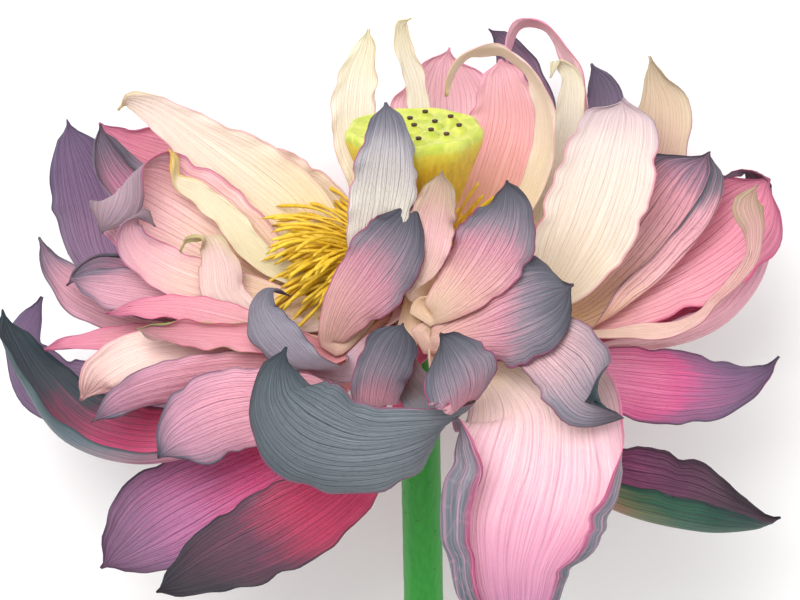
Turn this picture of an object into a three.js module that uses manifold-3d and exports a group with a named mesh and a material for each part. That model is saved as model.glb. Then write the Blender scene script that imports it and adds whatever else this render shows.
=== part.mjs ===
// A cut double lotus flower, lying on its back petals and on the cut end of its stalk.
// The stalk, the receptacle, the ring of stamens and every petal are separate solids.
// +X is the flower's right, +Y runs up the stalk and through the flower, +Z is up from the table.
import * as THREE from "three";
import { mergeVertices } from "three/addons/utils/BufferGeometryUtils.js";
import Module from "manifold-3d";

const wasm = await Module();
wasm.setup();

// ---------------------------------------------------------------- driving sizes, mm and degrees
// The flower is laid out round the base of its receptacle, at (0, 0, 0).
const AXIS = [-0.02, 0.945, 0.326]; // up the stalk: it slopes 19 degrees from the table
const TABLE = -75; // height of the table under the base of the receptacle
const STALK_RADIUS = 6;
const STALK_SIDES = 20;
const SEAT = 0.3; // running gap between pieces that touch
const BLADE = 0.8; // thickness of a petal
const APART = 1.7; // least distance between the middle surfaces of two petals
const TIER_STEP = 2; // petals grow from the neck of the receptacle in tiers
const TIER_FOOT = 1.5; // height of tier 0
const CLAW = 3.2; // half-width of a petal where it joins the neck

// receptacle, [height on the axis, radius]
const RECEPTACLE = [
  [-5, 6], [-3, 10.8], [0, 11], [16, 9], [16.3, 6.5], [20.5, 6.5], [24, 7.5], [40, 14],
  [49, 17.6], [57, 20.3], [60, 20.4], [61, 18.8], [60, 17],
];
const RECEPTACLE_SIDES = 24;
const LIP_WAVE = 0.5; // the rim swells between the carpels
const CARPEL_RINGS = [[1, 0], [5, 7], [9, 13.4]]; // [count, radius of the ring]
const CARPEL_RADIUS = 1.35;
const CARPEL_HEIGHT = 1.7;

// stamens
const COLLAR = [16.7, 18.9, 7, 9.1]; // low, high, inner radius, outer radius
const FILAMENTS = 28;
const FILAMENT_RADIUS = 0.55;
const ANTHER_RADIUS = 0.85;

// Each petal: where it joins the neck, root [azimuth, tier], with 0 to the right, 90 to the back,
// 180 to the left and 270 to the front; then its stations from the neck to the tip, as
// [x, y, z, half-width, cup in degrees, and the way that its inner face looks, nx, ny, nz].
// hem [left degrees, from, right degrees, from] folds the margins, wave [height, count, phase]
// ripples them, and round is the share of the length that a blunt tip takes.
const PETALS = [
  {
    name: "back_1", root: [135, 7],
    hem: [0, 0.7, 75, 0.7],
    stations: [
      [-8, 22, -13, 5, 40, 0, 0, 1], [-14, 42, -14, 7.5, 50, 0, 0, 1], [-18.5, 58, -12, 8, 50, 0, 0, 1],
      [-18, 72, -9, 6.8, 45, 0, 0, 1], [-15.5, 82, -7, 3.5, 30, 0, 0, 1],
      [-15, 87.5, -6, 1, 10, 0, 0, 1],
    ],
  },
  {
    name: "back_2", root: [90, 7],
    stations: [
      [-3, 25, -17, 3, 40, 0, 0, 1], [0, 50, -20, 4, 50, 0, 0, 1], [0, 68, -18, 3.5, 60, 0, 0, 1],
      [-4, 82, -15, 3, 60, 0, 0, 1], [-5, 89, -12, 2, 30, 0, 0, 1], [-2, 91, -10, 1, 0, 0, -1, 0],
    ],
  },
  {
    name: "back_3", root: [90, 5],
    round: 0.2,
    stations: [
      [5, 20, -30, 8, 40, 0, 0, 1], [8, 45, -38, 17, 60, 0, 0, 1], [9, 65, -40, 18, 60, 0, 0, 1],
      [9, 78, -37, 12, 60, 0, 0, 1], [10, 83, -35, 4, 40, 0, 0, 1],
    ],
  },
  {
    name: "back_4", root: [45, 5],
    stations: [
      [14, 20, -18, 8, 40, -0.2, 0, 1], [22, 42, -24, 13, 50, -0.2, 0, 1],
      [27, 60, -25, 12, 50, -0.2, 0, 1], [26, 74, -23, 7, 40, -0.2, 0, 1], [25, 79, -22, 2, 20, 0, 0, 1],
    ],
  },
  {
    name: "back_5", root: [67, 6],
    stations: [
      [16, 14, -8, 3.5, 20, -1, 0, 0.6], [33, 32, -4, 6, 20, -1, 0, 0.8],
      [40, 52, 0, 7, 20, -1, -0.2, 0.8], [37, 70, 3, 6.5, 20, -1, -0.8, 0.5],
      [27, 80, 3, 5, 20, -0.3, -1, 0.3], [16, 80, 2, 4, 10, 0.4, -1, 0.3],
      [10, 73, 0, 3, 0, 1, -0.5, 0.3], [9, 67, -1, 1, 0, 1, 0, 0.3],
    ],
  },
  {
    name: "back_6", root: [67, 4],
    stations: [
      [24, 20, -34, 6, 30, 0, 0, 1], [35, 40, -39, 9, 40, 0, 0, 1], [35, 60, -40, 9.5, 50, 0, 0, 1],
      [31, 76, -40, 8, 60, 0, 0, 1], [26, 85, -38, 4, 60, 0, 0, 1], [21.6, 89, -36, 1.2, 30, 0, 0, 1],
    ],
  },
  {
    name: "back_7", root: [45, 3],
    stations: [
      [30, 25, -24, 5, 20, -1, 0, 0.5], [47, 48, -26, 6, 20, -1, 0, 0.5],
      [50, 66, -27, 6, 20, -1, 0, 0.5], [46, 80, -28, 5, 20, -1, -0.5, 0.4],
      [38, 90, -29, 4.5, 20, -0.5, -1, 0.3], [31, 90, -30, 4, 10, 0.5, -1, 0.3],
      [27, 82, -30, 3, 0, 1, -0.5, 0.3], [28, 76, -30, 1, 0, 1, 0, 0.3],
    ],
  },
  {
    name: "back_8", root: [45, 7],
    stations: [
      [24, 12, -8, 4.5, 30, 0, 0, 1], [40, 34, -14, 6, 40, 0, 0, 1], [44, 50, -17, 6, 50, 0, 0, 1],
      [46, 64, -17, 4.5, 60, 0, 0, 1], [46, 74, -16, 3, 40, 0, 0, 1], [42, 78, -14, 2, 20, 0, -1, 0.3],
      [40, 73, -12, 1, 0, 0, 0, -1],
    ],
  },
  {
    name: "back_9", root: [22, 4],
    stations: [
      [32, 14, -32, 6, 40, 0, 0, 1], [52, 38, -42, 9, 50, 0, 0, 1], [57, 54, -44, 9, 50, 0, 0, 1],
      [57, 68, -44, 6, 50, 0, 0, 1], [53, 78, -42, 1.5, 20, 0, 0, 1],
    ],
  },
  {
    name: "right_1", root: [0, 7],
    hem: [20, 0.6, -35, 0.75], round: 0.06,
    stations: [
      [20, 0, 2, 6, 30, -0.3, 0.3, 1], [36, 3, 3, 10, 50, -0.3, 0.3, 1],
      [46, 20, 4, 15.5, 45, -0.2, 0, 1], [53, 38, 2, 17, 40, -0.2, 0, 1],
      [58, 54, -2, 14.5, 35, -0.2, -0.1, 1], [60, 63, -5, 11, 30, -0.2, -0.2, 1],
      [60.5, 66.5, -6, 8, 20, 0, -0.2, 1],
    ],
  },
  {
    name: "right_2", root: [22, 6],
    wave: [1.8, 3, 0],
    stations: [
      [24, 2, -10, 6, 40, -0.2, 0.3, 1], [50, 16, -20, 9, 50, -0.2, 0.2, 1],
      [66, 36, -25, 11, 50, -0.2, 0, 1], [73, 53, -24, 10.5, 60, -0.2, 0, 1],
      [74, 65, -21, 9, 70, 0, 0, 1], [72, 73, -18, 4, 60, 0, 0, 1], [70, 80, -15, 1.5, 0, 0, 0, 1],
    ],
  },
  {
    name: "right_3", root: [0, 5],
    hem: [0, 0.7, 165, 0.5], round: 0.1,
    stations: [
      [22, -3, -5, 6, 40, -0.3, 0.6, 0.7], [46, 0, -7, 12, 40, -0.3, 0.5, 0.8],
      [63, 14, -9, 17, 40, -0.3, 0.2, 0.9], [76, 30, -10, 19, 40, -0.3, 0, 1],
      [84, 43, -9, 15, 30, -0.2, 0, 1], [87, 50, -7, 7, 20, -0.2, 0, 1],
    ],
  },
  {
    name: "right_4", root: [0, 3],
    stations: [
      [22, -7, -8, 6, 40, 0, 0.85, 0.4], [45, -9, -8, 12, 90, 0, 0.9, 0.35],
      [70, -10, -8, 20, 140, -0.1, 0.95, 0.3], [92, -4, -10, 24, 150, -0.5, 0.85, 0.3],
      [107, 11, -12, 23, 140, -0.9, 0.4, 0.3], [112, 30, -11, 18, 110, -1, 0, 0.3],
      [108, 45, -6, 10, 60, -0.7, -0.7, 0.3], [101, 46, 1, 4, 30, 0, -1, 0.3],
      [95, 43, 4, 1.2, 10, 0.3, -1, 0.3],
    ],
  },
  {
    name: "right_5", root: [337, 4],
    round: 0.15,
    stations: [
      [26, 0, -10, 6, 30, -0.2, 0.6, 0.7], [54, 7, -15, 12, 40, -0.2, 0.3, 0.9],
      [78, 20, -17, 17, 50, -0.2, 0.1, 1], [93, 32, -17, 16, 50, -0.1, 0, 1],
      [101, 41, -15, 9, 40, 0, -0.2, 1],
    ],
  },
  {
    name: "right_6", root: [337, 6],
    wave: [1.2, 4, 1],
    stations: [
      [22, -6, -3, 3.5, 30, -0.2, 0.9, 0.4], [50, -4, -3, 4, 30, -0.2, 0.9, 0.4],
      [75, -1, -1, 4, 30, -0.4, 0.6, 0.6], [90, 9, 3, 3, 30, -0.7, 0.2, 0.6],
      [98, 20, 6, 2.5, 30, -0.3, 0.3, 1], [99, 29, 8, 3.5, 30, 0, 0.3, 1], [97, 36, 9, 5, 30, 0, 0, 1],
      [100, 42, 9, 1, 0, 0, 0, 1],
    ],
  },
  {
    name: "right_7", root: [337, 2],
    wave: [1.5, 2, 0],
    stations: [
      [25, -12, -6, 6, 30, 0, 0.4, 0.9], [56, -15, -8, 13, 20, 0, 0.3, 0.95],
      [76, -18, -9, 14, 10, 0, 0.3, 0.95], [94, -19, -9, 10, 30, 0, 0.4, 0.9],
      [104, -15, -8, 5, 60, -0.3, 0.4, 0.9], [108, -10, -7, 1.2, 40, -0.5, 0.2, 0.9],
    ],
  },
  {
    name: "right_8", root: [315, 1],
    stations: [
      [18, -20, 0, 6, 30, 0, 0.9, 0.4], [38, -42, 0, 14, 120, 0.1, 0.95, 0.35],
      [60, -56, 0, 24, 165, 0.1, 0.95, 0.35], [84, -62, -1, 24, 165, 0.1, 0.95, 0.35],
      [100, -62, -2, 12, 140, 0, 0.95, 0.35], [109, -59.5, -3, 1.2, 60, 0, 0.95, 0.35],
    ],
  },
  {
    name: "centre_1", root: [247, 6],
    stations: [
      [-24, -8, 20, 4.5, 20, 0, 0.4, -0.9], [-20, 1, 28, 9, 40, 0.2, 0.1, -1],
      [-10, 12, 36, 13, 50, 0.2, 0, -1], [-1, 22, 41, 11, 60, 0.1, 0, -1], [3, 29, 42, 5, 50, 0, 0, -1],
      [4, 33, 42, 1, 20, 0, 0, -1],
    ],
  },
  {
    name: "centre_2", root: [292, 6],
    stations: [
      [4, 2, 24, 5, 20, 0, 0.3, -1], [14, 11, 33, 12, 30, 0, 0, -1], [22, 22, 38, 14, 40, 0, 0, -1],
      [26, 32, 38, 9, 40, 0, 0, -1], [26, 41, 37, 1, 20, 0, 0, -1],
    ],
  },
  {
    name: "centre_3", root: [315, 5],
    wave: [1.2, 2, 0], round: 0.1,
    stations: [
      [0, -6, 26, 5, 20, 0, 0.4, -1], [11, -3, 36, 13, 40, 0, 0.2, -1], [24, 1, 42, 20, 40, 0, 0.1, -1],
      [36, 5, 43, 18.5, 40, 0.1, 0, -1], [43, 8, 42, 13, 40, 0.2, 0, -1],
      [46, 10, 41, 6, 30, 0.3, 0, -1],
    ],
  },
  {
    name: "centre_4", root: [270, 7],
    hem: [60, 0.6, 0, 0.7], wave: [1, 3, 0],
    stations: [
      [-10, 6, 22, 4.5, 20, 0, 0.2, -1], [-14, 20, 29, 7, 30, 0, 0.1, -1],
      [-12, 33, 36, 9.5, 50, 0, 0.2, -1], [-10, 46, 43, 9, 60, 0, 0.2, -1],
      [-9, 57, 46, 6, 60, 0, 0.1, -1], [-10, 64, 46, 2, 20, 0, 0, -1],
    ],
  },
  {
    name: "centre_5", root: [315, 7],
    wave: [1.5, 3, 0.5],
    stations: [
      [1, 6, 27, 4.5, 20, 0, 0.2, -1], [3, 18, 35, 8, 20, 0, 0.2, -1], [4, 28, 39, 8.5, 20, 0, 0.2, -1],
      [6, 37, 43, 6, 20, 0, 0.2, -1], [7, 43, 45, 1.5, 10, 0, 0, -1],
    ],
  },
  {
    name: "front_1", root: [270, 3],
    stations: [
      [0, -16, 18, 5, 20, 0, 0.8, 0.6], [8, -25, 34, 9, 30, 0, 0.9, 0.3],
      [17, -31, 50, 11, 40, -0.5, 0.6, 0], [6, -36, 61, 13, 50, -0.2, 0.4, -0.8],
      [-12, -38, 64, 16, 60, 0.1, 0.3, -0.9], [-29, -34, 62, 19, 70, 0.3, 0.2, -0.9],
      [-39, -25, 57, 14, 70, 0.4, 0, -0.9], [-40, -15, 53, 7, 50, 0.4, 0, -0.9],
      [-37, -8, 51, 1.5, 20, 0.3, 0, -1],
    ],
  },
  {
    name: "front_2", root: [247, 4],
    stations: [
      [-20, -14, 20, 5, 20, 0.2, 0.5, -0.8], [-32, -14, 34, 6, 30, 0.5, 0.3, -0.8],
      [-42, -6, 38, 8, 50, 0.5, 0, -0.9], [-47, 3, 36, 6, 60, 0.6, -0.3, -0.7],
      [-44, 9, 33, 3, 40, 0.2, -1, -0.2], [-38, 7, 30, 1, 0, 0, -0.6, 0.8],
    ],
  },
  {
    name: "front_3", root: [270, 5],
    round: 0.12,
    stations: [
      [-5, -16, 24, 5, 20, 0, 0.7, 0.2], [-12, -27, 38, 7, 20, 0, 0.5, -0.8],
      [-11, -18, 43, 8.5, 30, 0, 0, -1], [-7, -8, 45, 8.5, 30, 0, 0, -1], [-4, -1, 46, 6, 20, 0, 0, -1],
    ],
  },
  {
    name: "front_4", root: [292, 4],
    stations: [
      [4, -16, 26, 5, 20, 0, 0.7, 0.2], [9, -27, 44, 9, 30, 0, 0.5, -0.8],
      [10, -21, 51, 12.5, 30, 0, 0, -1], [7, -12, 52, 10, 30, 0, 0, -1], [4, -3, 51, 1, 20, 0, 0, -1],
    ],
  },
  {
    name: "front_5", root: [292, 2],
    hem: [150, 0.74, 155, 0.64],
    stations: [
      [8, -8, 20, 7, 20, 0, 0.7, 0.7], [20, -13, 32, 15, 30, 0.1, 0.6, 0.8],
      [28, -25, 42, 30, 30, 0, 0.2, 1], [27, -41, 47, 38, 40, 0, 0, 1], [24, -58, 46, 37, 50, 0, 0, 1],
      [23.5, -72, 42, 27, 60, 0, -0.1, 1], [25, -84, 38, 19, 60, 0, -0.2, 1],
      [25, -96, 34, 3, 40, 0, -0.3, 1],
    ],
  },
  {
    name: "front_6", root: [315, 3],
    stations: [
      [12, -6, 24, 5, 20, 0, 0.6, 0.7], [30, -5, 46, 11, 40, 0.2, 0.3, 0.9],
      [42, -13, 56, 14, 50, 0, 0.2, 1], [48, -21, 60, 12, 50, -0.2, -0.2, 1],
      [53, -25, 64, 6, 50, -0.5, -0.9, 0.2], [50, -24, 68, 1.5, 20, 0, -0.6, -0.8],
    ],
  },
  {
    name: "left_1", root: [157, 2],
    stations: [
      [-24, -2, -20, 7, 30, 0, 1, 0.3], [-55, 0, -38, 12, 40, 0.1, 0.9, 0.2],
      [-80, 4, -48, 15, 50, 0.5, 0.8, -0.2], [-94, 18, -47, 17, 50, 0.6, 0.4, -0.8],
      [-99, 36, -42, 15, 40, 0.3, 0, -1], [-105, 53, -38, 7, 30, 0.3, 0, -1],
      [-107, 61, -36, 1, 20, 0.3, 0, -1],
    ],
  },
  {
    name: "left_2", root: [135, 5],
    hem: [0, 0.7, 80, 0.8],
    stations: [
      [-20, 18, -22, 7, 30, 0, 0.3, 1], [-38, 31, -30, 13, 30, 0, 0.3, 1],
      [-58, 42, -34, 14, 40, 0, 0.2, 1], [-78, 47, -34, 12, 50, 0, 0.1, 1],
      [-91, 53, -32, 8, 40, 0, 0, 1], [-97, 60, -30, 1.5, 20, 0, 0, 1],
    ],
  },
  {
    name: "left_3", root: [157, 4],
    hem: [60, 0.6, 140, 0.55],
    stations: [
      [-24, 4, -14, 6, 30, 0, 0.3, 1], [-55, 18, -17, 9, 40, 0, 0.2, 1],
      [-78, 33, -16, 11, 40, 0, 0.2, 1], [-90, 45, -14, 10, 50, 0.2, 0, 1],
      [-95, 54, -12, 5, 50, 0.3, 0, 1], [-96, 59, -12, 1, 20, 0.3, 0, 1],
    ],
  },
  {
    name: "left_4", root: [157, 6],
    stations: [
      [-24, 18, -6, 7, 30, 0, 0.2, 1], [-38, 31, -6, 13, 50, 0, 0.2, 1],
      [-54, 44, -5, 13, 60, 0, 0.1, 1], [-68, 55, -4, 8, 60, 0, 0, 1], [-79, 63, -3, 5, 50, 0, 0, 1],
      [-87, 66, -1, 2.5, 30, 0, -0.6, 0.8], [-90, 63, 1, 1, 0, 0.5, -0.8, 0],
    ],
  },
  {
    name: "left_5", root: [112, 6],
    round: 0.1,
    stations: [
      [-20, 20, -14, 7, 30, 0, 0.2, 1], [-31, 31, -16, 12, 50, 0, 0.2, 1],
      [-43, 40, -16, 12, 50, 0, 0.1, 1], [-54, 48, -15, 9, 50, 0, 0, 1], [-61, 54, -14, 3, 30, 0, 0, 1],
    ],
  },
  {
    name: "left_6", root: [180, 7],
    stations: [
      [-26, 8, 4, 4, 30, 0, 0.4, 0.9], [-46, 17, 5, 4.5, 40, 0, 0.3, 1],
      [-56, 29, 4, 4.5, 40, 0, 0.3, 1], [-66, 38, 3, 3.5, 50, 0, 0.2, 1],
      [-73, 42, 3, 2.5, 40, 0.8, -0.3, 0.4], [-73, 48, 4, 2, 20, 0.8, -0.4, 0.4],
      [-75, 51, 5, 1, 0, 0.3, -1, 0.3],
    ],
  },
  {
    name: "left_7", root: [180, 5],
    stations: [
      [-24, 2, 4, 6, 30, 0, 0.5, 0.9], [-44, 10, 0, 12, 40, 0, 0.4, 0.9],
      [-62, 22, -2, 18, 40, 0, 0.3, 1], [-78, 32, -2, 19, 40, 0.1, 0.2, 1],
      [-89, 38, 2, 15, 40, 0.6, -0.7, 0.4], [-92, 33, 7, 9, 40, 0.3, -0.4, -0.8],
      [-95, 25, 8, 2, 20, 0.1, 0, -1],
    ],
  },
  {
    name: "left_8", root: [202, 6],
    stations: [
      [-26, 2, 8, 4, 30, 0, 0.5, 0.9], [-52, 8, 10, 6, 40, 0, 0.3, 1], [-70, 13, 12, 7, 40, 0, 0.2, 1],
      [-82, 20, 14, 6, 50, 0, 0.2, 1], [-86, 28, 17, 4, 50, 0.3, -0.6, 0.6],
      [-82, 32, 19, 2.5, 20, 0.4, -0.9, -0.2], [-78, 28, 20, 1, 0, 0, 0, -1],
    ],
  },
  {
    name: "left_9", root: [225, 7],
    stations: [
      [-26, -4, 14, 4, 20, 0.2, 0.2, -1], [-48, -2, 16, 6, 40, 0.1, 0.2, -1],
      [-58, 6, 16, 7.5, 50, 0.1, 0, -1], [-60, 16, 16, 7, 60, 0.2, 0, -1],
      [-63, 24, 15, 4, 60, 0.5, -0.8, -0.3], [-69, 24, 14, 2, 40, 0.3, -0.9, 0.2],
      [-71, 20, 13, 1, 0, 0.8, -0.4, 0],
    ],
  },
  {
    name: "left_10", root: [180, 3],
    hem: [0, 0.6, 90, 0.7], wave: [1.5, 3, 0],
    stations: [
      [-28, -2, 8, 5, 30, 0, 0.6, 0.8], [-60, 5, 4, 10, 40, 0, 0.4, 0.9],
      [-80, 11, 3, 12, 40, 0, 0.3, 0.9], [-94, 16, 2, 10, 40, 0.1, 0.2, 1],
      [-102, 15, 3, 4, 30, 0.2, 0.2, 1], [-105, 12, 4, 1, 20, 0.2, 0.2, 1],
    ],
  },
  {
    name: "left_11", root: [202, 4],
    stations: [
      [-28, -3, 12, 4.5, 30, 0, 0.8, 0.6], [-50, 1, 12, 6, 30, 0, 0.7, 0.7],
      [-72, 6, 9, 7.5, 40, 0, 0.7, 0.7], [-90, 9, 8, 7, 40, 0, 0.6, 0.8],
      [-100, 11, 7, 3, 30, 0, 0.6, 0.8], [-103, 12, 7, 1, 20, 0, 0.6, 0.8],
    ],
  },
  {
    name: "left_12", root: [202, 2],
    stations: [
      [-28, -4, 4, 5, 30, 0, 0.7, 0.7], [-60, -2, 0, 8, 40, 0, 0.6, 0.8],
      [-85, 2, -4, 9, 40, 0, 0.4, 0.9], [-101, 8, -6, 8, 50, 0.3, 0.2, 0.9],
      [-110, 16, -6, 4, 50, 0.3, 0, 1], [-114, 25, -6, 1, 20, 0.3, 0, 1],
    ],
  },
  {
    name: "left_13", root: [185, 0],
    stations: [
      [-26, -20, 4, 6, 40, 0, 0.8, 0.6], [-50, -34, 6, 12, 90, 0, 0.9, 0.4],
      [-80, -42, 5, 20, 120, 0.1, 0.9, 0.4], [-103, -36, 2, 22, 120, 0.5, 0.75, 0.4],
      [-116, -20, -1, 17, 100, 0.8, 0.4, 0.4], [-123, -5, -4, 8, 60, 0.8, 0.2, 0.5],
      [-125, 3, -6, 1, 20, 0.8, 0.2, 0.5],
    ],
  },
  {
    name: "left_14", root: [180, 1],
    stations: [
      [-28, -10, -12, 6, 30, 0, 0.9, 0.3], [-60, -16, -22, 9, 40, 0.1, 0.8, 0],
      [-90, -24, -28, 12, 40, 0.4, 0.5, -0.7], [-110, -22, -28, 12, 40, 0.5, 0.2, -0.9],
      [-120, -8, -26, 7, 30, 0.4, 0, -1], [-114, 7, -24, 1.5, 20, 0.3, 0, -1],
    ],
  },
  {
    name: "left_15", root: [225, 5],
    stations: [
      [-28, -6, 16, 4.5, 30, 0, 0.8, 0.6], [-48, -2, 18, 6.5, 40, 0, 0.8, 0.6],
      [-68, 1, 15, 7, 40, 0, 0.8, 0.6], [-84, 1, 12, 4, 40, 0, 0.8, 0.6],
      [-93, -1, 11, 1, 20, 0, 0.8, 0.6],
    ],
  },
  {
    name: "left_16", root: [222, 1],
    stations: [
      [-30, -9, 12, 5, 30, 0, 0.8, 0.6], [-58, -6, 12, 7, 40, 0, 0.8, 0.6],
      [-84, -5, 9, 6.5, 50, 0, 0.8, 0.6], [-103, -6, 7, 3, 40, 0, 0.8, 0.6],
      [-112, -8, 6, 1, 20, 0, 0.8, 0.6],
    ],
  },
  {
    name: "left_17", root: [247, 2],
    hem: [0, 0.5, 90, 0.5],
    stations: [
      [-24, -10, 20, 4.5, 30, 0, 0.7, 0.7], [-44, -5, 27, 6, 40, 0, 0.6, 0.8],
      [-62, -3, 24, 7, 40, 0, 0.6, 0.8], [-76, -2, 21, 5.5, 50, 0, 0.6, 0.8],
      [-84, -1, 20, 1.5, 30, 0, 0.6, 0.8],
    ],
  },
  {
    name: "left_18", root: [225, 3],
    stations: [
      [-30, -12, 16, 5, 30, 0, 0.6, 0.8], [-56, -9, 18, 8, 50, 0, 0.6, 0.8],
      [-80, -11, 15, 9, 60, 0.2, 0.6, 0.8], [-94, -18, 12, 7, 60, 0.5, 0.5, 0.7],
      [-100, -26, 10, 1.5, 30, 0.7, 0.3, 0.7],
    ],
  },
  {
    name: "left_19", root: [228, 0],
    stations: [
      [-24, -18, 18, 5, 20, 0, 0.6, -0.5], [-46, -14, 24, 8, 40, 0.1, 0.5, -0.8],
      [-72, -17, 22, 9, 50, 0.1, 0.5, -0.8], [-88, -22, 18, 6, 50, 0.3, 0.4, -0.8],
      [-98, -29, 15, 1.5, 30, 0.5, 0.2, -0.8],
    ],
  },
  {
    name: "left_20", root: [268, 1],
    round: 0.15,
    stations: [
      [-18, -24, 22, 5, 20, 0.1, 0.5, -0.6], [-36, -24, 32, 11, 40, 0.1, 0.5, -0.85],
      [-56, -27, 31, 14, 50, 0.2, 0.4, -0.85], [-71, -34, 26, 11, 60, 0.5, 0.3, -0.8],
      [-77, -40, 22, 4, 40, 0.6, 0.2, -0.8],
    ],
  },
  {
    name: "left_21", root: [256, -1],
    wave: [1.5, 2, 0],
    stations: [
      [-16, -28, 8, 6, 20, 0, 0.7, 0.7], [-40, -40, 8, 13, 20, 0, 0.4, 0.9],
      [-62, -51, 8, 17, 20, 0, 0.3, 0.95], [-78, -60, 7, 17, 30, 0, 0.3, 0.95],
      [-88, -68, 6, 10, 30, 0, 0.3, 0.95], [-95, -74, 5, 1.5, 10, 0, 0.3, 0.95],
    ],
  },
  {
    name: "left_22", root: [272, 0],
    stations: [
      [-6, -32, 16, 6, 20, 0, 0.7, -0.5], [-20, -48, 24, 11, 30, 0, 0.4, -0.9],
      [-40, -62, 24, 14, 40, 0, 0.3, -0.95], [-60, -72, 20, 11, 40, 0, 0.3, -0.95],
      [-74, -79, 16, 4, 30, 0, 0.2, -1], [-78, -81, 14, 1, 10, 0, 0.2, -1],
    ],
  },];

// Petals that the flower lies on: [azimuth of root, tier, azimuth of blade, length].
const UNDER = [
  [22, 2, 44, 100], [67, 2, 70, 86], [112, 2, 112, 86],
  [45, 1, 54, 98], [90, 1, 90, 78], [135, 1, 128, 98],
];
// along such a petal: [share of its length, half-width, cup, drop along the axis]
const UNDER_SHAPE = [[0.3, 7, 30, 1], [0.55, 14, 40, 4], [0.8, 17, 40, 9], [0.93, 10, 40, 14], [1, 2, 20, 17]];

// ---------------------------------------------------------------- small vector helpers
const add = (a, b, s = 1) => [a[0] + b[0] * s, a[1] + b[1] * s, a[2] + b[2] * s];
const scale = (a, s) => [a[0] * s, a[1] * s, a[2] * s];
const dot = (a, b) => a[0] * b[0] + a[1] * b[1] + a[2] * b[2];
const cross = (a, b) => [a[1] * b[2] - a[2] * b[1], a[2] * b[0] - a[0] * b[2], a[0] * b[1] - a[1] * b[0]];
const size = (a) => Math.sqrt(dot(a, a));
const unit = (a) => scale(a, 1 / Math.max(size(a), 1e-9));
const clamp = (t, low, high) => Math.min(Math.max(t, low), high);
const smooth = (t) => {
  const c = clamp(t, 0, 1);
  return c * c * (3 - 2 * c);
};
const radians = (d) => (d * Math.PI) / 180;

const UP = unit(AXIS);
const RIGHT = unit(add([1, 0, 0], UP, -UP[0]));
const BACK = cross(UP, RIGHT)[2] > 0 ? scale(cross(UP, RIGHT), -1) : cross(UP, RIGHT);

// the point at an azimuth and radius round the axis, at a height on it
function ring(azimuth, radius, height) {
  const a = radians(azimuth);
  return add(add(scale(UP, height), RIGHT, radius * Math.cos(a)), BACK, radius * Math.sin(a));
}

// radius of the receptacle at a height on the axis
function receptacleRadius(height) {
  const last = RECEPTACLE.length - 3;
  if (height <= RECEPTACLE[0][0]) return RECEPTACLE[0][1];
  for (let i = 0; i < last; i += 1) {
    const [h0, r0] = RECEPTACLE[i];
    const [h1, r1] = RECEPTACLE[i + 1];
    if (height <= h1) return r0 + ((r1 - r0) * (height - h0)) / (h1 - h0);
  }
  return RECEPTACLE[last][1];
}

// ---------------------------------------------------------------- petals as surfaces
UNDER.forEach(([azimuth, tier, blade, length], i) => {
  const stations = UNDER_SHAPE.map(([share, half, cup, drop]) => {
    const turn = azimuth + (blade - azimuth) * Math.min(1, share * 1.6);
    const p = ring(turn, length * share, 3 + 2 * tier - drop);
    return [p[0], p[1], Math.max(p[2], TABLE + 3), half, cup, ...UP];
  });
  PETALS.push({ name: `under_${i + 1}`, root: [azimuth, tier], stations });
});

// Puts the claw's two stations on the neck and readies the curve through all of them.
function prepare(petal) {
  const [azimuth, tier] = petal.root;
  const height = TIER_FOOT + TIER_STEP * tier;
  const radius = receptacleRadius(height) + SEAT;
  const knots = [
    [...ring(azimuth, radius, height), CLAW, 0, ...UP],
    [...ring(azimuth, radius + 6, height + 1), 4.2, 20, ...UP],
    ...petal.stations,
  ].map((k) => [...k.slice(0, 5), ...unit(k.slice(5))]);
  const at = [0];
  for (let i = 1; i < knots.length; i += 1) {
    at.push(at[i - 1] + size(add(knots[i], knots[i - 1], -1)));
  }
  const length = at[at.length - 1];
  const share = at.map((t) => t / length);
  const slopes = knots.map((_, i) => {
    const a = Math.max(i - 1, 0);
    const b = Math.min(i + 1, knots.length - 1);
    return knots[i].map((_unused, c) => (knots[b][c] - knots[a][c]) / (share[b] - share[a]));
  });
  return { hem: [0, 1, 0, 1], wave: [0, 0, 0], round: 0, ...petal, knots, share, slopes };
}

// all eight values of the stations at v, and their rates of change
function along(petal, v) {
  const { knots, share, slopes } = petal;
  let i = 0;
  while (i < knots.length - 2 && v >= share[i + 1]) i += 1;
  const h = share[i + 1] - share[i];
  const f = (v - share[i]) / h;
  const f2 = f * f;
  const f3 = f2 * f;
  const value = [];
  const rate = [];
  for (let c = 0; c < 8; c += 1) {
    const p0 = knots[i][c];
    const p1 = knots[i + 1][c];
    const m0 = slopes[i][c] * h;
    const m1 = slopes[i + 1][c] * h;
    value.push((2 * f3 - 3 * f2 + 1) * p0 + (f3 - 2 * f2 + f) * m0 + (3 * f2 - 2 * f3) * p1 + (f3 - f2) * m1);
    rate.push(((6 * f2 - 6 * f) * p0 + (3 * f2 - 4 * f + 1) * m0 + (6 * f - 6 * f2) * p1 + (3 * f2 - 2 * f) * m1) / h);
  }
  return [value, rate];
}

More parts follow.
